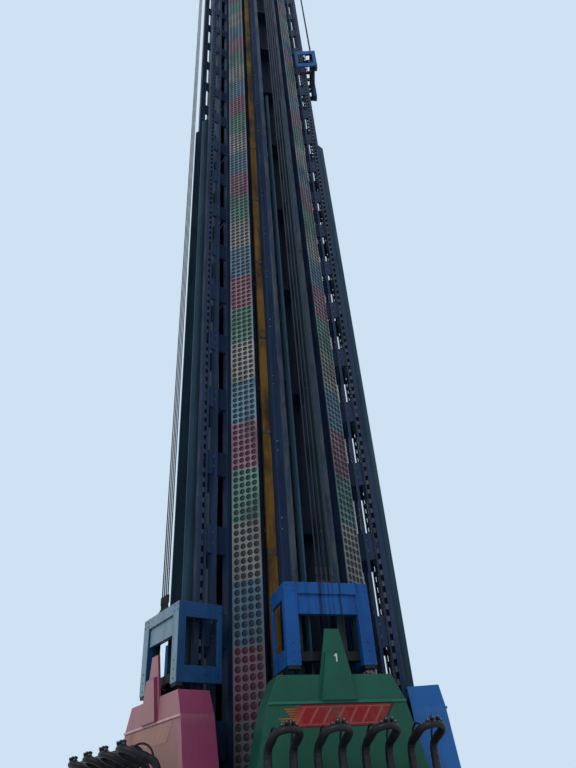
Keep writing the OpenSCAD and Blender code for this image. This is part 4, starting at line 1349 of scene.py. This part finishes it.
# the shaft with its bosses, and steel collars where the pads begin
def restraintSteel():
    d = restraint
    low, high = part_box("front_restraints")
    steel = [rodMesh("shaft", (low.x, -d["shaftR"], d["shaftZ"]), (high.x, -d["shaftR"], d["shaftZ"]),
                     d["shaftRadius"], 20)]
    for i in range(4):
        for side in (-1, 1):
            x = (i - 1.5) * seat["pitch"] + side * d["half"]
            steel.append(latheMesh("boss", (x, -d["shaftR"], d["shaftZ"]), (1, 0, 0),
                                   [(-0.021, 0.015), (-0.021, 0.024), (-0.019, 0.026), (0.019, 0.026),
                                    (0.021, 0.024), (0.021, 0.015)], 24))
            steel.append(rodMesh("stub", (x, -d["shaftR"], d["shaftZ"] + 0.020),
                                 (x, -d["shaftR"], d["shaftZ"] + 0.034), 0.0185, 18))
    steel = onlyMaterial(joined(steel, "restraintSteel"), shaftSteel)
    turnDown(onEveryFace(steel, "restraint_steel", lambda face: f"{face}_restraint_bar", None,
                         "restraint_black"))


restraintPads()
restraintGrips()
restraintSteel()
print("restraints made")


# Stage, light and camera
def stage():
    material, _, shader = newMaterial("floorPaint")
    shader.inputs["Base Color"].default_value = (0.74, 0.76, 0.78, 1)
    shader.inputs["Roughness"].default_value = 0.85
    reach, down = 400, -0.001
    corners = [(-reach, -reach, down), (reach, -reach, down), (reach, reach, down), (-reach, reach, down)]
    floor = meshObject("floor", corners, [(0, 1, 2, 3)])
    onlyMaterial(floor, material)


def lights():
    world = bpy.data.worlds.new("paleSky")
    bpy.context.scene.world = world
    world.use_nodes = True
    tree = world.node_tree
    tree.nodes.clear()
    out = tree.nodes.new("ShaderNodeOutputWorld")
    seen = addNode(tree, "ShaderNodeBackground", {"Color": (0.62, 0.76, 0.90, 1), "Strength": 1.0})
    lit = addNode(tree, "ShaderNodeBackground", {"Color": (0.86, 0.93, 1.0, 1), "Strength": 0.55})
    path = tree.nodes.new("ShaderNodeLightPath")
    mirrored = mathNode(tree, "MAXIMUM", path.outputs["Is Glossy Ray"], path.outputs["Is Transmission Ray"])
    either = mathNode(tree, "MAXIMUM", path.outputs["Is Camera Ray"], mirrored)
    mix = addNode(tree, "ShaderNodeMixShader", {0: either, 1: lit.outputs[0], 2: seen.outputs[0]})
    tree.links.new(mix.outputs[0], out.inputs[0])
    for name, strength, softness, direction, colour in (
            ("keySun", 1.25, 25, (0.75, 0.9, -0.75), (1.0, 0.97, 0.92)),
            ("fillSun", 0.4, 60, (-0.8, 0.7, -0.35), (0.9, 0.95, 1.0)),
            ("backSun", 0.6, 40, (-0.3, -1.0, -0.8), (1.0, 1.0, 1.0))):
        sun = bpy.data.lights.new(name, "SUN")
        sun.energy = strength
        sun.angle = math.radians(softness)
        sun.color = colour
        holder = bpy.data.objects.new(name, sun)
        holder.rotation_euler = Vector(direction).to_track_quat("-Z", "Y").to_euler()
        bpy.context.scene.collection.objects.link(holder)


# where the photograph was taken from
shot = {"place": (-1.5574, -5.2879, 0.775), "pitch": 36.231, "heading": 18.567, "roll": 4.406, "lens": 27.67}


def camera():
    p, h, r = (math.radians(shot[key]) for key in ("pitch", "heading", "roll"))
    right = Vector((math.cos(h), -math.sin(h), 0))
    up = Vector((-math.sin(h) * math.sin(p), -math.cos(h) * math.sin(p), math.cos(p)))
    ahead = Vector((math.sin(h) * math.cos(p), math.cos(h) * math.cos(p), math.sin(p)))
    xAxis = right * math.cos(r) - up * math.sin(r)
    yAxis = right * math.sin(r) + up * math.cos(r)
    turn = Matrix((xAxis, yAxis, -ahead)).transposed().to_4x4()
    data = bpy.data.cameras.new("photoCamera")
    data.lens = shot["lens"]
    data.sensor_width = 36
    data.clip_end = 1500
    data.clip_start = 0.05
    holder = bpy.data.objects.new("photoCamera", data)
    holder.matrix_world = Matrix.Translation(shot["place"]) @ turn
    bpy.context.scene.collection.objects.link(holder)
    bpy.context.scene.camera = holder


stage()
lights()
camera()
bpy.context.scene.view_settings.view_transform = "Standard"
print("stage, lights and camera set")
